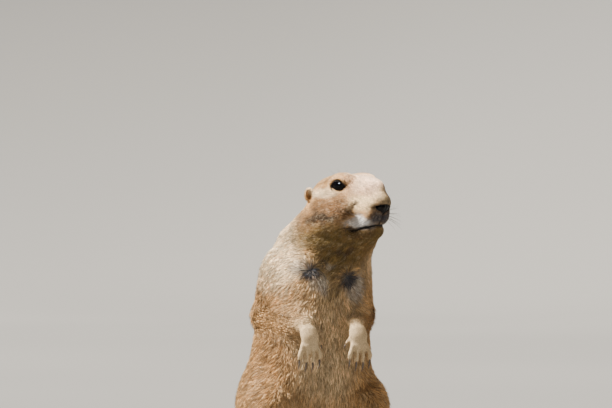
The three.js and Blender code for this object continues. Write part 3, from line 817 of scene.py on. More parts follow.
def brush_material():
    """The black hair of the tail's end."""
    material, nodes = new_material("Black brush")
    root = nodes.noted("root_place", "Vector")
    streak = nodes.noise(root, 170.0)
    colour = nodes.mix(nodes.ramp(streak, 0.3, 0.7), paint("brush", 0.5), paint("brush", 1.6))
    hair_shader(nodes, hair_tones(nodes, colour, root, streak))
    return material


PUPIL = (0.002, 0.002, 0.003)
IRIS_EDGE = (0.004, 0.003, 0.003)


def eye_material():
    """A dark brown iris round a black pupil, wet and glossy."""
    material, nodes = new_material("Eye")
    edge = nodes.noted("from_pupil")
    fibres = nodes.noise(nodes.place(), 2600.0)
    iris = nodes.mix(nodes.ramp(fibres, 0.3, 0.7), paint("eye", 0.5), paint("eye", 1.5))
    colour = nodes.mix(nodes.ramp(edge, 0.42, 0.5), PUPIL, iris)
    colour = nodes.mix(nodes.ramp(edge, 0.86, 0.97), colour, IRIS_EDGE)
    shader(nodes, {"Base Color": colour, "Roughness": 0.05, "Specular IOR Level": 0.1})
    return material


def leather_material(name, colour_name, scale, roughness):
    """Bare skin with fine pebbled creases."""
    material, nodes = new_material(name)
    place = nodes.place()
    cells = nodes.add("TexVoronoi", {"Vector": place, "Scale": scale}).outputs["Distance"]
    fine = nodes.noise(place, scale * 1.7, 3.0)
    colour = nodes.mix(nodes.ramp(fine, 0.3, 0.7), paint(colour_name, 0.6), paint(colour_name, 1.5))
    height = nodes.math("ADD", nodes.math("MULTIPLY", cells, -1.0), nodes.math("MULTIPLY", fine, 0.3))
    bump = nodes.add("Bump", {"Strength": 0.6, "Distance": 0.0003, "Height": height}).outputs[0]
    rough = nodes.ramp(fine, 0.3, 0.7, roughness - 0.08, roughness + 0.1)
    shader(nodes, {"Base Color": colour, "Roughness": rough, "Specular IOR Level": 0.16}, bump)
    return material


def claw_material():
    """Dark horn with fine paler lines along it."""
    material, nodes = new_material("Claw horn")
    stretched = nodes.add("Mapping", {"Vector": nodes.place(), "Scale": (2400.0, 500.0, 500.0)}).outputs[0]
    lines = nodes.noise(stretched, 1.0)
    colour = nodes.mix(nodes.ramp(lines, 0.3, 0.7), paint("claw", 0.5), paint("claw", 1.5))
    bump = nodes.add("Bump", {"Strength": 0.25, "Distance": 0.0001, "Height": lines}).outputs[0]
    shader(nodes, {"Base Color": colour, "Roughness": 0.34, "Specular IOR Level": 0.5}, bump)
    return material


WHISKER_TONE = 0.90625


def whisker_material():
    """Dark stiff hair."""
    material, nodes = new_material("Whisker")
    colour = (*paint("whisker", WHISKER_TONE), 1.0)
    shader(nodes, {"Base Color": colour, "Roughness": 0.4, "Specular IOR Level": 0.4})
    return material


def floor_material():
    """A plain pale floor with wide, faint clouds."""
    material, nodes = new_material("Pale floor")
    tone = nodes.noise(nodes.place(), 0.7, 1.0)
    colour = nodes.mix(nodes.ramp(tone, 0.3, 0.7), paint("floor", 0.96), paint("floor", 1.04))
    shader(nodes, {"Base Color": colour, "Roughness": 0.8, "Specular IOR Level": 0.2})
    return material


# Tubes drawn out along a line, as a path with a round bevel


def tubes(name, lines, sides=2, smooth=True, closed=False):
    """One mesh of round tubes. Each line is a list of (x, y, z, radius) in metres."""
    curve = bpy.data.curves.new(name, "CURVE")
    curve.dimensions = "3D"
    curve.bevel_depth = 1.0
    curve.bevel_resolution = sides
    curve.use_fill_caps = not closed
    curve.resolution_u = 3
    for line in lines:
        spline = curve.splines.new("NURBS" if smooth else "POLY")
        spline.points.add(len(line) - 1)
        spline.use_cyclic_u = closed
        for point, (x, y, z, radius) in zip(spline.points, line):
            point.co = (x, y, z, 1.0)
            point.radius = radius
        if smooth:
            spline.use_endpoint_u = True
            spline.order_u = min(4, len(line))
    only_select(new_object(name, curve))
    bpy.ops.object.convert(target="MESH")
    tube = bpy.context.object
    tube.name = name
    return tube


# Opening of the lids, seen along the eye's own direction: [forward, up], as four curves of four points
LID_CURVES = [
    ((7.3, -3.6), (5.4, 0.4), (3.0, 2.8), (0.0, 2.9)),
    ((0.0, 2.9), (-3.1, 3.0), (-4.8, 1.3), (-4.9, -0.7)),
    ((-4.9, -0.7), (-5.0, -3.5), (-2.7, -5.6), (0.2, -5.7)),
    ((0.2, -5.7), (3.1, -5.8), (5.7, -5.2), (7.3, -3.6)),
]
LID_MIDDLE = (1.0, -1.0)


def eye_frame(s):
    """The middle of an eye, and the directions out of it, up and forward across it."""
    outward = head_direction(mirrored(EYE_OUTWARD, s))
    up = head_direction((0, 0, 1))
    up = (up - outward * up.dot(outward)).normalized()
    forward = head_direction((0, 1, 0))
    forward = (forward - outward * forward.dot(outward)).normalized()
    return head_point(mirrored(EYE, s)), outward, up, forward


def lid_outline(s, widen, reach, steps=10):
    """Points round the opening of the lids, widened by so much, on a ball larger than the eye."""
    centre, outward, up, forward = eye_frame(s)
    ring = []
    for a, b, c, d in LID_CURVES:
        for i in range(steps):
            t = i / steps
            k = ((1 - t) ** 3, 3 * t * (1 - t) ** 2, 3 * t * t * (1 - t), t**3)
            x = sum(w * p[0] for w, p in zip(k, (a, b, c, d)))
            y = sum(w * p[1] for w, p in zip(k, (a, b, c, d)))
            aside, above = x - LID_MIDDLE[0], y - LID_MIDDLE[1]
            share = widen / math.hypot(aside, above)
            x, y = x + aside * share, y + above * share
            z = math.sqrt(max((EYE_RADIUS + reach) ** 2 - x * x - y * y, 2.0))
            ring.append(centre + (forward * x + up * y + outward * z) * MM)
    return ring


def lid_tube(name, s, widen, reach, radius):
    """A tube of this radius in millimetres that runs all round the opening of the lids."""
    line = [(*place, radius * MM) for place in lid_outline(s, widen, reach)]
    return tubes(name, [line], 3, smooth=False, closed=True)


# Skin

FLESH_GROWTH = 0.35
LID_FOLDS = (1.3, 2.4)  # how far outside the opening of the lids its two folds run
LID_FOLD_RADIUS = 1.15
SEAM_DEPTH = 1.7
SEAM_WIDTH = 1.15
RAY_START = 60  # how far in front of the face the rays start that look for the skin
SKIN_OVER_FLOOR = 0.2
COAT_OVER_FLOOR = 0.15
WEIGHT_STEPS = 40
FLESH = ["head", "neck", "torso", "ear_left", "ear_right"] + [
    f"{part}_{side}" for part in ("upper_arm", "forearm", "forepaw", "thigh", "hind_foot") for side in SIDES
]


def joined_flesh(values):
    """The solids of flesh, a little grown, with the tail's core and the folds of the lids, as one mesh."""
    parts = []
    for node in FLESH:
        part = copy_of(node, f"flesh_{node}")
        edit_all_of(part)
        bpy.ops.transform.shrink_fatten(value=FLESH_GROWTH * MM)
        bpy.ops.object.mode_set(mode="OBJECT")
        parts.append(part)
    line = [(0, 56, 24), *TAIL_LINE, (22, 143, 4.9)]
    radii = (8, 7, 6, 5.2, 4.6, 4.2, 1.5)
    parts.append(tubes("flesh_tail", [[(*body_point(p), r * MM) for p, r in zip(line, radii)]], 4))
    for side, s in SIDES.items():
        for widen in LID_FOLDS:
            parts.append(lid_tube(f"flesh_lid_{side}", s, widen, 0.2, LID_FOLD_RADIUS))
    only_select(parts[FLESH.index("torso")], *parts)
    bpy.ops.object.join()
    skin = bpy.context.object
    skin.name = "skin"
    skin.data.name = "skin"
    apply_modifier(skin, "REMESH", mode="VOXEL", voxel_size=values.voxel, use_smooth_shade=True)
    return skin


def weights(obj, name, amounts):
    """Adds a vertex group of that name, from one amount for each vertex."""
    group = obj.vertex_groups.new(name=name)
    levels = np.round(np.clip(amounts, 0, 1) * WEIGHT_STEPS).astype(int)
    for level in np.unique(levels):
        group.add(np.nonzero(levels == level)[0].tolist(), level / WEIGHT_STEPS, "REPLACE")


# Places with little coat or with fine shapes: [place, half sizes, frame of the place]
SLENDER = [((12, 112, 8), (28, 40, 16), "body")]
PAIRED_SLENDER = [
    (EYE, (11, 11, 10), "head"),
    (EAR, (9, 9, 10), "head"),
    ((21, -52, 98), (14, 13, 20), "body"),
    ((37, -36, 4), (16, 24, 12), "body"),
]
DETAILED = SLENDER + [((0, 28, -27), (22, 22, 16), "head")]
PAIRED_DETAILED = PAIRED_SLENDER + [(EYE, (12, 12, 11), "head"), ((37, -28, 4), (16, 32, 16), "body")]
WRISTS = [((21, -51, 106), (15, 15, 8.5), "body")]


def near(points, rows, paired_rows):
    """From 0 away from all these places to 1 in them."""
    frames = {"head": in_head(points), "body": in_body(points)}
    out = np.zeros(len(points))
    for place, radii, where in on_each_side(rows, paired_rows):
        away = ball_distance(frames[where], place, radii)
        np.maximum(out, 1 - smooth_step(0.75, 1.25, away), out=out)
    return out


def surface(obj):
    """A tree of an object's faces, for rays."""
    mesh = obj.data
    return BVHTree.FromPolygons([v.co for v in mesh.vertices], [tuple(f.vertices) for f in mesh.polygons])


def ray_hit(tree, place, direction):
    """Where a ray meets a surface, and how far off."""
    hit, _, _, distance = tree.ray_cast(place, direction)
    if hit is None:
        raise RuntimeError("a line of the face misses the skin")
    return hit, distance


def mouth_height(forward):
    """How high the line of the mouth runs at this place along the head."""
    drop = 1.2 * smooth_step(24, 12, np.array(float(forward))) + 0.3 * math.sin(forward * 0.62)
    return MOUTH_FRONT[1] - (MOUTH_FRONT[0] - forward) * MOUTH_SLOPE - float(drop)


def mouth_line(tree):
    """Points on the skin from one corner of the mouth to the other."""
    line = []
    for step in range(-30, 31):
        angle = math.radians(3.1 * step)
        across, along = math.sin(angle), math.cos(angle)
        reach = 20.0
        for _ in range(3):
            height = mouth_height(MOUTH_ROUND + reach * along)
            start = head_point((RAY_START * across, MOUTH_ROUND + RAY_START * along, height))
            hit, distance = ray_hit(tree, start, head_direction((-across, -along, 0)))
            reach = RAY_START - distance / MM
        line.append(hit)
    return line


def cleft_line(tree):
    """Points on the skin from the nose down to the mouth."""
    starts = [head_point((0, RAY_START, -20.5 - 0.54 * step)) for step in range(21)]
    return [ray_hit(tree, start, head_direction((0, -1, 0)))[0] for start in starts]


def lip_seams(skin):
    """Points on the skin along the mouth and down the cleft of the lip."""
    tree = surface(skin)
    return mouth_line(tree) + cleft_line(tree)


def distance_to(points, line):
    """Distance of each point from the nearest of a line's points."""
    tree = KDTree(len(line))
    for i, place in enumerate(line):
        tree.insert(place, i)
    tree.balance()
    return np.array([tree.find(p)[2] for p in points])


def opened_lids(points):
    """The skin's points, with those in the opening of the lids drawn in behind the eyeball."""
    for s in SIDES.values():
        centre, outward, up, forward = (np.array(v) for v in eye_frame(s))
        away = (points - centre) / MM
        reach = np.maximum(np.linalg.norm(away, axis=1), 1e-6)
        across = np.hypot((away @ forward - 1.2) / 6.2, (away @ up + 1.5) / 4.4)
        inside = smooth_step(1.0, 0.85, across) * (away @ outward > 0) * (reach < 12)
        inward = np.minimum(reach, EYE_RADIUS - 1.2) - reach
        points = points + away * (inward / reach * inside)[:, None] * MM
    return points


def pushed(obj, points, push):
    """Moves an object's points along its normals by so many millimetres."""
    move_points(obj.data, points + normals_of(obj.data) * (push * MM)[:, None])


def sculpted(skin):
    """Shapes the soft forms of the skin, draws the mouth and the lip's cleft into it and opens the lids."""
    seams = lip_seams(skin)
    points = points_of(skin.data)
    frames = {"head": in_head(points), "body": in_body(points)}
    push = np.zeros(len(points))
    for place, radii, amount, where in on_each_side(FORMS, PAIRED_FORMS):
        push += amount * np.exp(-(ball_distance(frames[where], place, radii) ** 2))
    close = ball_distance(frames["head"], MOUTH_PLACE, MOUTH_REACH) < 1
    away = distance_to(points[close], seams) / (SEAM_WIDTH * MM)
    push[close] -= SEAM_DEPTH * np.exp(-(away**2))
    pushed(skin, points, push)
    move_points(skin.data, opened_lids(points_of(skin.data)))


def mark_bare_edges(skin):
    """Notes on the skin where it is bare and dark, along the lips and round the lids."""
    seams = lip_seams(skin)
    points = points_of(skin.data)
    head = in_head(points)
    dark = np.zeros(len(points))
    close = ball_distance(head, MOUTH_PLACE, MOUTH_REACH) < 1
    dark[close] = np.exp(-((distance_to(points[close], seams) / (1.2 * MM)) ** 2))
    for s in SIDES.values():
        close = ball_distance(head, mirrored(EYE, s), (12, 12, 12)) < 1
        away = distance_to(points[close], lid_outline(s, 0.5, 0.6)) / MM
        dark[close] = np.maximum(dark[close], smooth_step(1.5, 0.9, away))
    note(skin.data, "bare_edge", dark)


class PRAIRIEDOG_OT_skin(bpy.types.Operator):
    """Draw one skin round all the flesh, inside the coat's depth"""

    bl_idname = "prairiedog.skin"
    bl_label = "Skin"

    def execute(self, context):
        values = context.scene.prairie_dog
        skin = joined_flesh(values)
        points = points_of(skin.data)
        detail = near(points, DETAILED, PAIRED_DETAILED) * (1 - near(points, [], WRISTS))
        soft = (1 - detail) * (1 - 0.75 * head_share(points))
        weights(skin, "soft", soft)
        apply_modifier(skin, "SMOOTH", factor=0.5, iterations=values.smoothing, vertex_group="soft")
        apply_modifier(skin, "SMOOTH", factor=0.5, iterations=3)
        sculpted(skin)
        points = points_of(skin.data)
        depth = coat_at(points)[0] * values.depth * (1 - 0.85 * near(points, SLENDER, PAIRED_SLENDER))
        deepest = float(depth.max())
        weights(skin, "coat_depth", depth / deepest)
        inward = {"strength": -deepest, "mid_level": 0.0, "direction": "NORMAL"}
        apply_modifier(skin, "DISPLACE", vertex_group="coat_depth", **inward)
        weights(skin, "plain", 1 - 0.9 * detail)
        share = values.skin_faces / sum(len(f.vertices) - 2 for f in skin.data.polygons)
        if share < 1:
            apply_modifier(skin, "DECIMATE", ratio=share, vertex_group="plain", vertex_group_factor=0.6)
        points = points_of(skin.data)
        points[:, 2] = np.maximum(points[:, 2], FLOOR_HEIGHT + SKIN_OVER_FLOOR * MM)
        move_points(skin.data, points)
        mark_bare_edges(skin)
        only_select(skin)
        bpy.ops.object.shade_smooth()
        edit_all_of(skin)
        bpy.ops.mesh.normals_make_consistent(inside=False)
        bpy.ops.uv.smart_project(angle_limit=math.radians(66), island_margin=0.002)
        bpy.ops.object.mode_set(mode="OBJECT")
        skin.data.uv_layers[0].name = "OFBake"
        finished(skin, skin_material(), "coat", *FLESH, "tail", "tail_tip")
        return {"FINISHED"}


IRIS_REACH = math.radians(58)  # from the middle of the pupil to the iris's edge
CORNEA_START = 0.55  # where the cornea starts to rise, as a share of the eye's radius
CORNEA_BULGE = 0.055


class PRAIRIEDOG_OT_eyes(bpy.types.Operator):
    """Make the eyeballs, each with a raised cornea"""

    bl_idname = "prairiedog.eyes"
    bl_label = "Eyes"

    def execute(self, context):
        material = eye_material()
        for side, s in SIDES.items():
            outward = head_direction(mirrored(EYE_OUTWARD, s))
            centre = head_point(mirrored(EYE, s))
            turn = outward.to_track_quat("Z", "Y").to_euler()
            bpy.ops.object.select_all(action="DESELECT")
            bpy.ops.mesh.primitive_uv_sphere_add(
                segments=48, ring_count=32, radius=EYE_RADIUS * MM, location=centre, rotation=turn
            )
            eye = bpy.context.object
            eye.name = f"eyeball_{side}"
            points = points_of(eye.data)
            height = points[:, 2] / (EYE_RADIUS * MM)
            note(eye.data, "from_pupil", np.arccos(np.clip(height, -1, 1)) / IRIS_REACH)
            bulge = CORNEA_BULGE * smooth_step(CORNEA_START, 1.0, height)
            move_points(eye.data, points * (1 + bulge)[:, None])
            bpy.ops.object.shade_smooth()
            in_place(eye)
            finished(eye, material, "eye", f"eye_{side}")
        return {"FINISHED"}


class PRAIRIEDOG_OT_lids(bpy.types.Operator):
    """Make the dark rims of the eyelids"""

    bl_idname = "prairiedog.lids"
    bl_label = "Lid rims"

    def execute(self, context):
        material = leather_material("Lid skin", "lid", 2600.0, 0.4)
        for side, s in SIDES.items():
            lid = lid_tube(f"lid_rim_{side}", s, 0.0, 0.55, 0.5)
            bpy.ops.object.shade_smooth()
            finished(lid, material, "nose")
        return {"FINISHED"}


class PRAIRIEDOG_OT_mouth(bpy.types.Operator):
    """Lay the dark lips along the mouth and the cleft above it"""

    bl_idname = "prairiedog.mouth"
    bl_label = "Mouth"

    def execute(self, context):
        tree = surface(bpy.data.objects["skin"])
        mouth = mouth_line(tree)
        edge = []
        for i, place in enumerate(mouth):
            turn = math.pi * i / (len(mouth) - 1)
            radius = 0.38 * math.sin(turn) ** 0.4 + 0.06 + 0.14 * abs(math.sin(2 * turn))
            edge.append((*place, radius * MM))
        cleft = [(*place, 0.5 * MM) for place in cleft_line(tree)]
        lips = tubes("lips", [edge, cleft], 2, smooth=False)
        bpy.ops.object.shade_smooth()
        finished(lips, leather_material("Lip skin", "nose", 2600.0, 0.45), "nose")
        return {"FINISHED"}


NOSTRIL = ((3.2, -16.4), (4.6, -15.9), (6.2, -16.0), (7.6, -16.9), (8.2, -18.2), (7.8, -19.3))


def nose_line(nose, s):
    """Points on the nose pad along one nostril, which curls outward and down like a comma."""
    tree = surface(nose)
    line = []
    for (x0, z0), (x1, z1) in zip(NOSTRIL, NOSTRIL[1:]):
        for i in range(4):
            t = i / 4
            place = head_point((s * (x0 + (x1 - x0) * t), RAY_START, z0 + (z1 - z0) * t))
            hit = tree.ray_cast(place, head_direction((0, -1, 0)))[0]
            if hit is not None:
                line.append(hit)
    if not line:
        raise RuntimeError("the nostril misses the nose pad")
    return line


class PRAIRIEDOG_OT_nose(bpy.types.Operator):
    """Smooth the nose pad and give it its leathery skin"""

    bl_idname = "prairiedog.nose"
    bl_label = "Nose"

    def execute(self, context):
        nose = copy_of("nose", "nose_pad")
        apply_modifier(nose, "REMESH", mode="VOXEL", voxel_size=0.35 * MM, use_smooth_shade=True)
        apply_modifier(nose, "SMOOTH", factor=0.5, iterations=5)
        nostrils = nose_line(nose, 1) + nose_line(nose, -1)
        points = points_of(nose.data)
        head = in_head(points)
        away = distance_to(points, nostrils) / MM
        push = -2.0 * np.exp(-((away / 0.8) ** 2))
        push += 0.35 * np.exp(-(((away - 1.9) / 0.8) ** 2))
        push -= 0.45 * np.exp(-((head[:, 0] / 0.55) ** 2)) * smooth_step(-16, -18, head[:, 2])
        pushed(nose, points, push)
        finished(nose, leather_material("Nose skin", "nose", 1500.0, 0.5), "nose", "nose")
        return {"FINISHED"}


class PRAIRIEDOG_OT_claws(bpy.types.Operator):
    """Round the claws of each foot"""

    bl_idname = "prairiedog.claws"
    bl_label = "Claws"

    def execute(self, context):
        material = claw_material()
        for foot in ("fore", "hind"):
            for side in SIDES:
                nodes = [f"{foot}_claw_{side}_{i}" for i in range(1, 6)]
                claws = [copy_of(node, f"{node}_horn") for node in nodes]
                only_select(*claws)
                bpy.ops.object.join()
                joined = bpy.context.object
                joined.name = f"{foot}_claws_{side}"
                apply_modifier(joined, "SUBSURF", levels=2, render_levels=2)
                bpy.ops.object.shade_smooth()
                finished(joined, material, "claw", *nodes)
        return {"FINISHED"}


# Coat

COAT_SEED = 11
TUFTS_TO_A_LOCK = 26
BRUSH_START = 118  # how far back the tail turns black
BRUSH_SLANT = 0.35
BRUSH_BLUR = 6
SCATTER = (73856093, 19349663, 83492791)  # large primes that scatter neighbouring cells
STIR = 1274126177
USUAL_LENGTH = 0.008  # length of the hair whose tufts have the width of the settings
TUFT_CORNERS = ((-0.5, 0.0), (0.5, 0.0), (0.0, 0.45))
Tufts = namedtuple("Tufts", "root half tip side out length uv chance lock")

# Share of the length and of the width at each ring of a tuft, before its tip
BENT = ((0.0, 1.0), (0.5, 0.85))
STRAIGHT = ((0.0, 1.0),)
MAP_PATCH = 0.003  # size of a tuft's patch on the skin's map


def hair_template(steps):
    """Faces of one tuft of three sides, and where its corners lie on its small patch of the map."""
    faces, corners = [(0, 2, 1)], [((0.02, 0.0), (0.05, 0.02), (0.02, 0.04))]
    rings = len(steps)
    for ring in range(rings - 1):
        v0, v1 = steps[ring][0], steps[ring + 1][0]
        for i in range(3):
            a, b = 3 * ring + i, 3 * ring + (i + 1) % 3
            c, d = b + 3, a + 3
            u0, u1 = 0.1 + 0.3 * i, 0.4 + 0.3 * i
            faces += [(a, b, c), (a, c, d)]
            corners += [((u0, v0), (u1, v0), (u1, v1)), ((u0, v0), (u1, v1), (u0, v1))]
    last = 3 * (rings - 1)
    v = steps[-1][0]
    for i in range(3):
        u0, u1 = 0.1 + 0.3 * i, 0.4 + 0.3 * i
        faces.append((last + i, last + (i + 1) % 3, last + 3))
        corners.append(((u0, v), (u1, v), ((u0 + u1) / 2, 1.0)))
    return np.array(faces), np.array(corners)


def skin_samples(skin, count, density, seed):
    """Places spread over the skin: their points, normals and places on the skin's map."""
    mesh = skin.data
    mesh.calc_loop_triangles()
    n = len(mesh.loop_triangles)
    corners = np.empty(n * 3, np.int32)
    loops = np.empty(n * 3, np.int32)
    mesh.loop_triangles.foreach_get("vertices", corners)
    mesh.loop_triangles.foreach_get("loops", loops)
    corners, loops = corners.reshape(-1, 3), loops.reshape(-1, 3)
    points = points_of(mesh)
    normals = normals_of(mesh).astype(float)
    uv = np.empty(len(mesh.loops) * 2, np.float32)
    mesh.uv_layers["OFBake"].uv.foreach_get("vector", uv)
    uv = uv.reshape(-1, 2)
    triangle = points[corners]
    edges = triangle[:, 1:] - triangle[:, :1]
    area = np.linalg.norm(np.cross(edges[:, 0], edges[:, 1]), axis=1) / 2
    middles = triangle.mean(1)
    share = area * density(middles)
    order = morton_order(middles)
    steps = np.cumsum(share[order])
    rng = np.random.default_rng(seed)
    picks = (np.arange(count) + rng.random(count)) / count * steps[-1]
    chosen = order[np.minimum(np.searchsorted(steps, picks), n - 1)]
    a, b = rng.random(count), rng.random(count)
    flip = a + b > 1
    a[flip], b[flip] = 1 - a[flip], 1 - b[flip]
    w = np.stack([1 - a - b, a, b], 1)[:, :, None]
    return (
        (triangle[chosen] * w).sum(1),
        unit((normals[corners[chosen]] * w).sum(1)),
        (uv[loops[chosen]] * w).sum(1),
        rng,
    )


def morton_order(points):
    """The order of points along a curve that keeps neighbours together."""
    cells = np.floor((points - points.min(0)) / 0.002).astype(np.int64)
    code = np.zeros(len(points), np.int64)
    for bit in range(8):
        for axis in range(3):
            code |= ((cells[:, axis] >> bit) & 1) << (3 * bit + axis)
    return np.argsort(code, kind="stable")


def bare(points, seams):
    """True in the opening of the lids and of the ears, on the nose, in the mouth and under the soles."""
    head = in_head(points)
    blocked = ball_distance(head, NOSE, (10.4, 7.0, 4.3)) < 1
    for s in SIDES.values():
        centre, outward, up, forward = (np.array(v) for v in eye_frame(s))
        away = (points - centre) / MM
        x, y, z = away @ forward, away @ up, away @ outward
        blocked |= (((x - 1.1) / 6.9) ** 2 + ((y + 1.4) / 5.1) ** 2 < 1) & (z > 0) & (z < 12)
        from_ear = (points - np.array(head_point(mirrored(EAR, s)))) / MM
        out = from_ear @ np.array(head_direction(mirrored(EAR_OPENING, s)))
        blocked |= (np.linalg.norm(from_ear, axis=1) < 5) & (out > -0.5) & (out < 3.2)
    lips = (np.abs(head[:, 0]) < 26) & (head[:, 1] > 8) & (head[:, 2] < -16) & (head[:, 2] > -42)
    blocked[lips] |= distance_to(points[lips], seams) < 0.35 * MM
    return blocked | (in_body(points)[:, 2] < 0.6)


def streaks(points, lie, width):
    """From 0 to 1, much the same along the lie of the coat and changing across it, as locks do."""
    total = np.zeros(len(points))
    for step in range(-4, 5):
        cell = np.floor((points + lie * (step * 1.5 * width)) / width).astype(np.int64)
        code = (cell @ np.array(SCATTER)) & 0xFFFFFFF
        code = ((code ^ (code >> 13)) * STIR) & 0xFFFFFFFFFF
        total += ((code >> 12) & 0xFFFF) / 0xFFFF
    return np.clip((total / 9 - 0.5) * 2.8 + 0.5, 0, 1)


def gathered(half, tip, normals, length, clumping, rng):
    """The tufts' middles and tips, drawn together into locks, and a chance for each tuft's lock."""
    leaders = rng.permutation(len(tip))[: max(len(tip) // TUFTS_TO_A_LOCK, 1)]
    tree = KDTree(len(leaders))
    for i, leader in enumerate(leaders):
        tree.insert(tip[leader], i)
    tree.balance()
    nearest = np.array([tree.find(p)[1] for p in tip])
    target = tip[leaders[nearest]]
    reach = np.linalg.norm(target - tip, axis=1)
    pull = clumping * np.exp(-((reach / (0.5 * length)) ** 2))
    off = (target - tip) * pull[:, None]
    off -= normals * (off * normals).sum(1, keepdims=True) * 0.5
    return half + off * 0.35, tip + off, rng.random(len(leaders))[nearest]


def grown_coat(skin, region, seams, values, seed):
    """The places and shapes of the tufts of one region."""
    points, normals, uv, rng = skin_samples(skin, region.tufts, region.density, seed)
    keep = ~bare(points, seams)
    points, normals, uv = points[keep], normals[keep], uv[keep]
    n = len(points)
    length, lie = coat_at(points, normals)
    length *= rng.uniform(0.72, 1.18, n) * region.length
    lips = ball_distance(in_head(points), MOUTH_PLACE, (26, 26, 16)) < 1
    length[lips] *= 0.45 + 0.55 * smooth_step(0.5, 5.0, distance_to(points[lips], seams) / MM)
    side = np.cross(normals, lie)
    swing = rng.normal(0, 0.16, n)[:, None]
    lie = unit(lie * np.cos(swing) + side * np.sin(swing))
    side = np.cross(normals, lie)
    lift = values.lift * rng.uniform(0.55, 1.35, n)
    first = unit(lie * np.cos(lift)[:, None] + normals * np.sin(lift)[:, None])
    later = unit(lie * np.cos(lift * 0.35)[:, None] + normals * np.sin(lift * 0.35)[:, None])
    root = points - normals * 0.25 * MM
    half = root + first * (length * 0.5)[:, None]
    tip = half + later * (length * 0.5)[:, None]
    lock = streaks(root, lie, region.streak * MM)
    if values.clumping > 0 and n > 50:
        half, tip, tone = gathered(half, tip, normals, length, values.clumping, rng)
        lock = 0.75 * lock + 0.25 * tone
    return Tufts(root, half, tip, side, normals, length, uv, rng.random(n), lock)


def coat_mesh(name, hairs, part, steps, width):
    """One piece of the coat from a part of the tufts."""
    faces, corners = hair_template(steps)
    tufts = Tufts(*(rows[part] for rows in hairs))
    n = len(tufts.root)
    width = width * np.sqrt(tufts.length / USUAL_LENGTH)
    rings = []
    for centre, (_, fullness) in zip((tufts.root, tufts.half), steps):
        for a, b in TUFT_CORNERS:
            aside = tufts.side * (width * fullness * a)[:, None]
            rings.append(centre + aside + tufts.out * (width * fullness * b)[:, None])
    rings.append(tufts.tip)
    per = len(rings)
    co = np.stack(rings, 1).reshape(-1, 3)
    co[:, 2] = np.maximum(co[:, 2], FLOOR_HEIGHT + COAT_OVER_FLOOR * MM)
    indices = (faces[None] + (np.arange(n) * per)[:, None, None]).reshape(-1)
    mesh = bpy.data.meshes.new(name)
    mesh.vertices.add(n * per)
    mesh.vertices.foreach_set("co", co.astype(np.float32).ravel())
    total = n * len(faces)
    mesh.loops.add(total * 3)
    mesh.loops.foreach_set("vertex_index", indices.astype(np.int32))
    mesh.polygons.add(total)
    mesh.polygons.foreach_set("loop_start", np.arange(0, total * 3, 3, dtype=np.int32))
    mesh.polygons.foreach_set("use_smooth", np.ones(total, bool))
    mesh.update(calc_edges=True)
    uv = tufts.uv[:, None, None, :] + (corners[None] - 0.5) * MAP_PATCH
    layer = mesh.uv_layers.new(name="OFBake", do_init=False)
    layer.uv.foreach_set("vector", uv.astype(np.float32).ravel())
    shares = np.array([s for s, _ in steps for _ in range(3)] + [1.0])
    note(mesh, "root_place", np.repeat(tufts.root, per, 0))
    note(mesh, "along_hair", np.tile(shares, n))
    note(mesh, "chance", np.repeat(tufts.chance, per))
    note(mesh, "lock", np.repeat(tufts.lock, per))
    return new_object(name, mesh)


# Length and width are beside the rest of the coat's, and a streak's width is in millimetres
Region = namedtuple("Region", "tufts density steps length width pieces streak")
REGIONS = {
    "face_coat": Region(100000, head_share, STRAIGHT, length=1.0, width=0.9, pieces=3, streak=1.9),
    "underfur": Region(60000, trunk_share, STRAIGHT, length=0.62, width=1.0, pieces=2, streak=2.6),
    "trunk_coat": Region(70000, trunk_share, BENT, length=1.05, width=0.85, pieces=5, streak=2.6),
    "paw_coat": Region(14000, paw_share, STRAIGHT, length=0.72, width=0.75, pieces=1, streak=1.0),
    "tail_coat": Region(8000, tail_share, BENT, length=1.0, width=0.9, pieces=1, streak=1.5),
}


def pieces_of(name, count, hairs):
    """The pieces that a region is cut into, each with the numbers of its tufts."""
    if name == "tail_coat":
        place = in_body(hairs.root)
        edge = BRUSH_START + BRUSH_BLUR * (hairs.chance - 0.5)
        dark = place[:, 1] + BRUSH_SLANT * place[:, 0] > edge
        return {"tail_coat": np.nonzero(~dark)[0], "tail_brush": np.nonzero(dark)[0]}
    cuts = [len(hairs.root) * i // count for i in range(count + 1)]
    return {f"{name}_{i + 1}": np.arange(cuts[i], cuts[i + 1]) for i in range(count)}


class PRAIRIEDOG_OT_coat(bpy.types.Operator):
    """Grow the coat in tufts that follow its lie"""

    bl_idname = "prairiedog.coat"
    bl_label = "Coat"

    def execute(self, context):
        values = context.scene.prairie_dog
        skin = bpy.data.objects["skin"]
        seams = lip_seams(skin)
        coat, brush = coat_material(), brush_material()
        for number, (name, region) in enumerate(REGIONS.items()):
            hairs = grown_coat(skin, region, seams, values, COAT_SEED + number)
            width = values.thickness * region.width
            for piece_name, part in pieces_of(name, region.pieces, hairs).items():
                if not len(part):
                    raise RuntimeError(f"{piece_name} has no tufts")
                piece = coat_mesh(piece_name, hairs, part, region.steps, width)
                if piece_name == "tail_brush":
                    finished(piece, brush, "tail_tip")
                else:
                    finished(piece, coat, "coat")
        return {"FINISHED"}


WHISKER_SEED = 5
WHISKER_BEND = Vector((0, -0.16, -0.10))


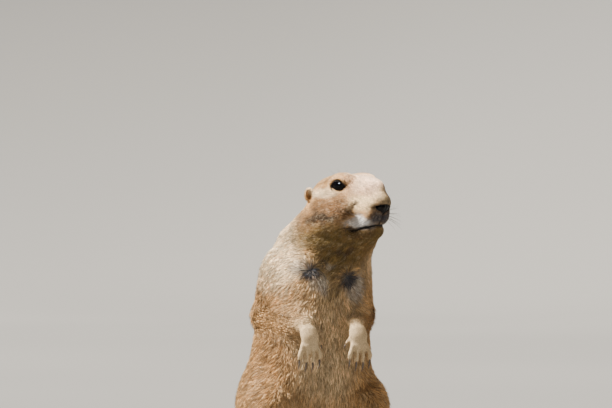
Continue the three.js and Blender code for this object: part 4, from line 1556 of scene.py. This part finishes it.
class PRAIRIEDOG_OT_whiskers(bpy.types.Operator):
    """Set the whiskers on the lips and above the eyes"""

    bl_idname = "prairiedog.whiskers"
    bl_label = "Whiskers"

    def execute(self, context):
        values = context.scene.prairie_dog
        rng = np.random.default_rng(WHISKER_SEED)
        lines = []
        for s in SIDES.values():
            for row in range(4):
                for i in range(4):
                    back = i / 3
                    root = Vector((6.5 + 2.6 * back + 0.8 * row, 31.5 - 7.5 * back, -20.5 - 2.2 * row))
                    out = Vector((0.75 + 0.2 * back, 0.55 - 0.65 * back, 0.28 - 0.22 * row))
                    out += Vector(rng.normal(0, 0.06, 3))
                    length = values.whisker_length / MM * (0.5 + 0.5 * back) * rng.uniform(0.8, 1.0)
                    lines.append(whisker(root, out, length, s))
            for i in range(3):
                root = Vector((11.5 + 1.5 * i, 5 - 5 * i, 7.0))
                lines.append(whisker(root, Vector((0.35, 0.1 - 0.35 * i, 0.9)), 8.0, s))
                root = Vector((9.0 - i, 21 + 2.5 * i, -5.0 - 2 * i))
                lines.append(whisker(root, Vector((0.7, 0.5, 0.5 - 0.2 * i)), 8.0, s))
        whiskers = tubes("whiskers", lines, 0)
        bpy.ops.object.shade_smooth()
        finished(whiskers, whisker_material(), "coat")
        return {"FINISHED"}


def whisker(root, out, length, s):
    """Five points along one whisker, which bends down and back and thins to a point."""
    out = out.normalized()
    line = []
    for i in range(5):
        t = i / 4
        place = root + out * (length * t) + WHISKER_BEND * (length * t * t)
        place.x *= s
        line.append((*head_point(place), (0.10 * (1 - t) + 0.02) * MM))
    return line


FLOOR_RADIUS = 4.5
FLOOR_CURVE = 1.5  # radius of the curve from the floor up into the wall
WALL_HEIGHT = 1.5


class PRAIRIEDOG_OT_stage(bpy.types.Operator):
    """Lay the pale floor with its rising back, and set the lights and the camera"""

    bl_idname = "prairiedog.stage"
    bl_label = "Stage"

    def execute(self, context):
        values = context.scene.prairie_dog
        bpy.ops.object.select_all(action="DESELECT")
        bpy.ops.mesh.primitive_circle_add(
            vertices=96, radius=FLOOR_RADIUS, fill_type="NGON", location=(0, 0, FLOOR_HEIGHT)
        )
        floor = bpy.context.object
        floor.name = "floor"
        edit_all_of(floor)
        last_radius, last_height = FLOOR_RADIUS, 0.0
        for step in range(1, 9):
            angle = math.radians(90 * step / 8)
            radius = FLOOR_RADIUS + FLOOR_CURVE * math.sin(angle)
            height = FLOOR_CURVE * (1 - math.cos(angle))
            rise = (0, 0, height - last_height)
            bpy.ops.mesh.extrude_region_move(TRANSFORM_OT_translate={"value": rise})
            factor = radius / last_radius
            bpy.ops.transform.resize(value=(factor, factor, 1))
            last_radius, last_height = radius, height
        bpy.ops.mesh.extrude_region_move(TRANSFORM_OT_translate={"value": (0, 0, WALL_HEIGHT)})
        bpy.ops.mesh.delete(type="ONLY_FACE")
        bpy.ops.mesh.select_all(action="SELECT")
        bpy.ops.mesh.normals_make_consistent(inside=True)
        bpy.ops.object.mode_set(mode="OBJECT")
        bpy.ops.object.shade_smooth()
        in_place(floor)
        floor.data.materials.append(floor_material())
        floor.visible_shadow = False
        set_camera(values)
        set_lights(values)
        return {"FINISHED"}


IMAGE = (612, 408)
PX_PER_M = 1250.0
EYES_PIXEL = (352.2, 185.0)
CAMERA_AZIMUTH = math.radians(-18)
UP = Vector((0, 0, 1))
RIGHT = Vector((math.cos(CAMERA_AZIMUTH), math.sin(CAMERA_AZIMUTH), 0))
BACK = Vector((math.sin(CAMERA_AZIMUTH), -math.cos(CAMERA_AZIMUTH), 0))


def set_camera(values):
    """A long lens that looks level, with the eyes at their pixel of the photograph."""
    distance = values.camera_distance
    x = (EYES_PIXEL[0] - IMAGE[0] / 2) / PX_PER_M
    y = (IMAGE[1] / 2 - EYES_PIXEL[1]) / PX_PER_M
    data = bpy.data.cameras.new("Camera")
    data.sensor_width = 36.0
    data.lens = data.sensor_width * distance * PX_PER_M / IMAGE[0]
    data.clip_end = 50.0
    camera = new_object("Camera", data)
    camera.location = EYES - RIGHT * x - UP * y + BACK * distance
    camera.rotation_euler = (math.radians(90), 0, CAMERA_AZIMUTH)
    bpy.context.scene.camera = camera


def set_lights(values):
    """A sun from high on the left, a weak cool one from the right, a glint for the eyes and a pale room."""
    key = values.key_light
    for name, direction, strength, angle, colour in (
        ("Key", RIGHT * -0.85 + BACK * 0.14 + UP, key, 12, (1.0, 0.95, 0.86)),
        ("Fill", RIGHT * 0.5 + BACK * 1.0 + UP * 0.35, key * 0.02, 50, (0.84, 0.90, 1.0)),
        ("Catchlight", BACK * 0.87 - RIGHT * 0.15 + UP * 0.47, key * 1.6, 8, (0.80, 0.90, 1.0)),
    ):
        data = bpy.data.lights.new(name, "SUN")
        data.energy = strength
        data.angle = math.radians(angle)
        data.color = colour
        light = new_object(name, data)
        light.rotation_euler = direction.normalized().to_track_quat("Z", "Y").to_euler()
        # The glint falls on the eyeballs alone
        if name == "Catchlight":
            light.visible_diffuse = False
            eyes = bpy.data.collections.new("Eyes")
            for side in SIDES:
                eyes.objects.link(bpy.data.objects[f"eyeball_{side}"])
            light.light_linking.receiver_collection = eyes
    world = bpy.data.worlds.new("Studio")
    world.use_nodes = True
    background = world.node_tree.nodes["Background"].inputs
    background["Color"].default_value = (0.90, 0.94, 1.0, 1.0)
    background["Strength"].default_value = 0.11
    bpy.context.scene.world = world


class PRAIRIEDOG_PT_panel(bpy.types.Panel):
    """The model's pieces and their settings"""

    bl_idname = "PRAIRIEDOG_PT_panel"
    bl_label = "Prairie Dog"
    bl_space_type = "VIEW_3D"
    bl_region_type = "UI"
    bl_category = "Prairie Dog"

    def draw(self, context):
        for values in (context.scene.prairie_dog, context.scene.prairie_dog_colours):
            for name in values.bl_rna.properties.keys():
                if name not in ("rna_type", "name"):
                    self.layout.prop(values, name)
        for operator in OPERATORS:
            self.layout.operator(operator.bl_idname)


OPERATORS = (
    PRAIRIEDOG_OT_skin,
    PRAIRIEDOG_OT_eyes,
    PRAIRIEDOG_OT_lids,
    PRAIRIEDOG_OT_mouth,
    PRAIRIEDOG_OT_nose,
    PRAIRIEDOG_OT_claws,
    PRAIRIEDOG_OT_coat,
    PRAIRIEDOG_OT_whiskers,
    PRAIRIEDOG_OT_stage,
)
CLASSES = (PrairieDogColours, PrairieDogSettings, *OPERATORS, PRAIRIEDOG_PT_panel)


def register():
    for cls in CLASSES:
        bpy.utils.register_class(cls)
    bpy.types.Scene.prairie_dog = bpy.props.PointerProperty(type=PrairieDogSettings)
    bpy.types.Scene.prairie_dog_colours = bpy.props.PointerProperty(type=PrairieDogColours)


def unregister():
    del bpy.types.Scene.prairie_dog_colours
    del bpy.types.Scene.prairie_dog
    for cls in reversed(CLASSES):
        bpy.utils.unregister_class(cls)


def main():
    register()
    bpy.ops.prairiedog.skin()
    bpy.ops.prairiedog.eyes()
    bpy.ops.prairiedog.lids()
    bpy.ops.prairiedog.mouth()
    bpy.ops.prairiedog.nose()
    bpy.ops.prairiedog.claws()
    bpy.ops.prairiedog.coat()
    bpy.ops.prairiedog.whiskers()
    bpy.ops.prairiedog.stage()


if __name__ == "__main__":
    main()
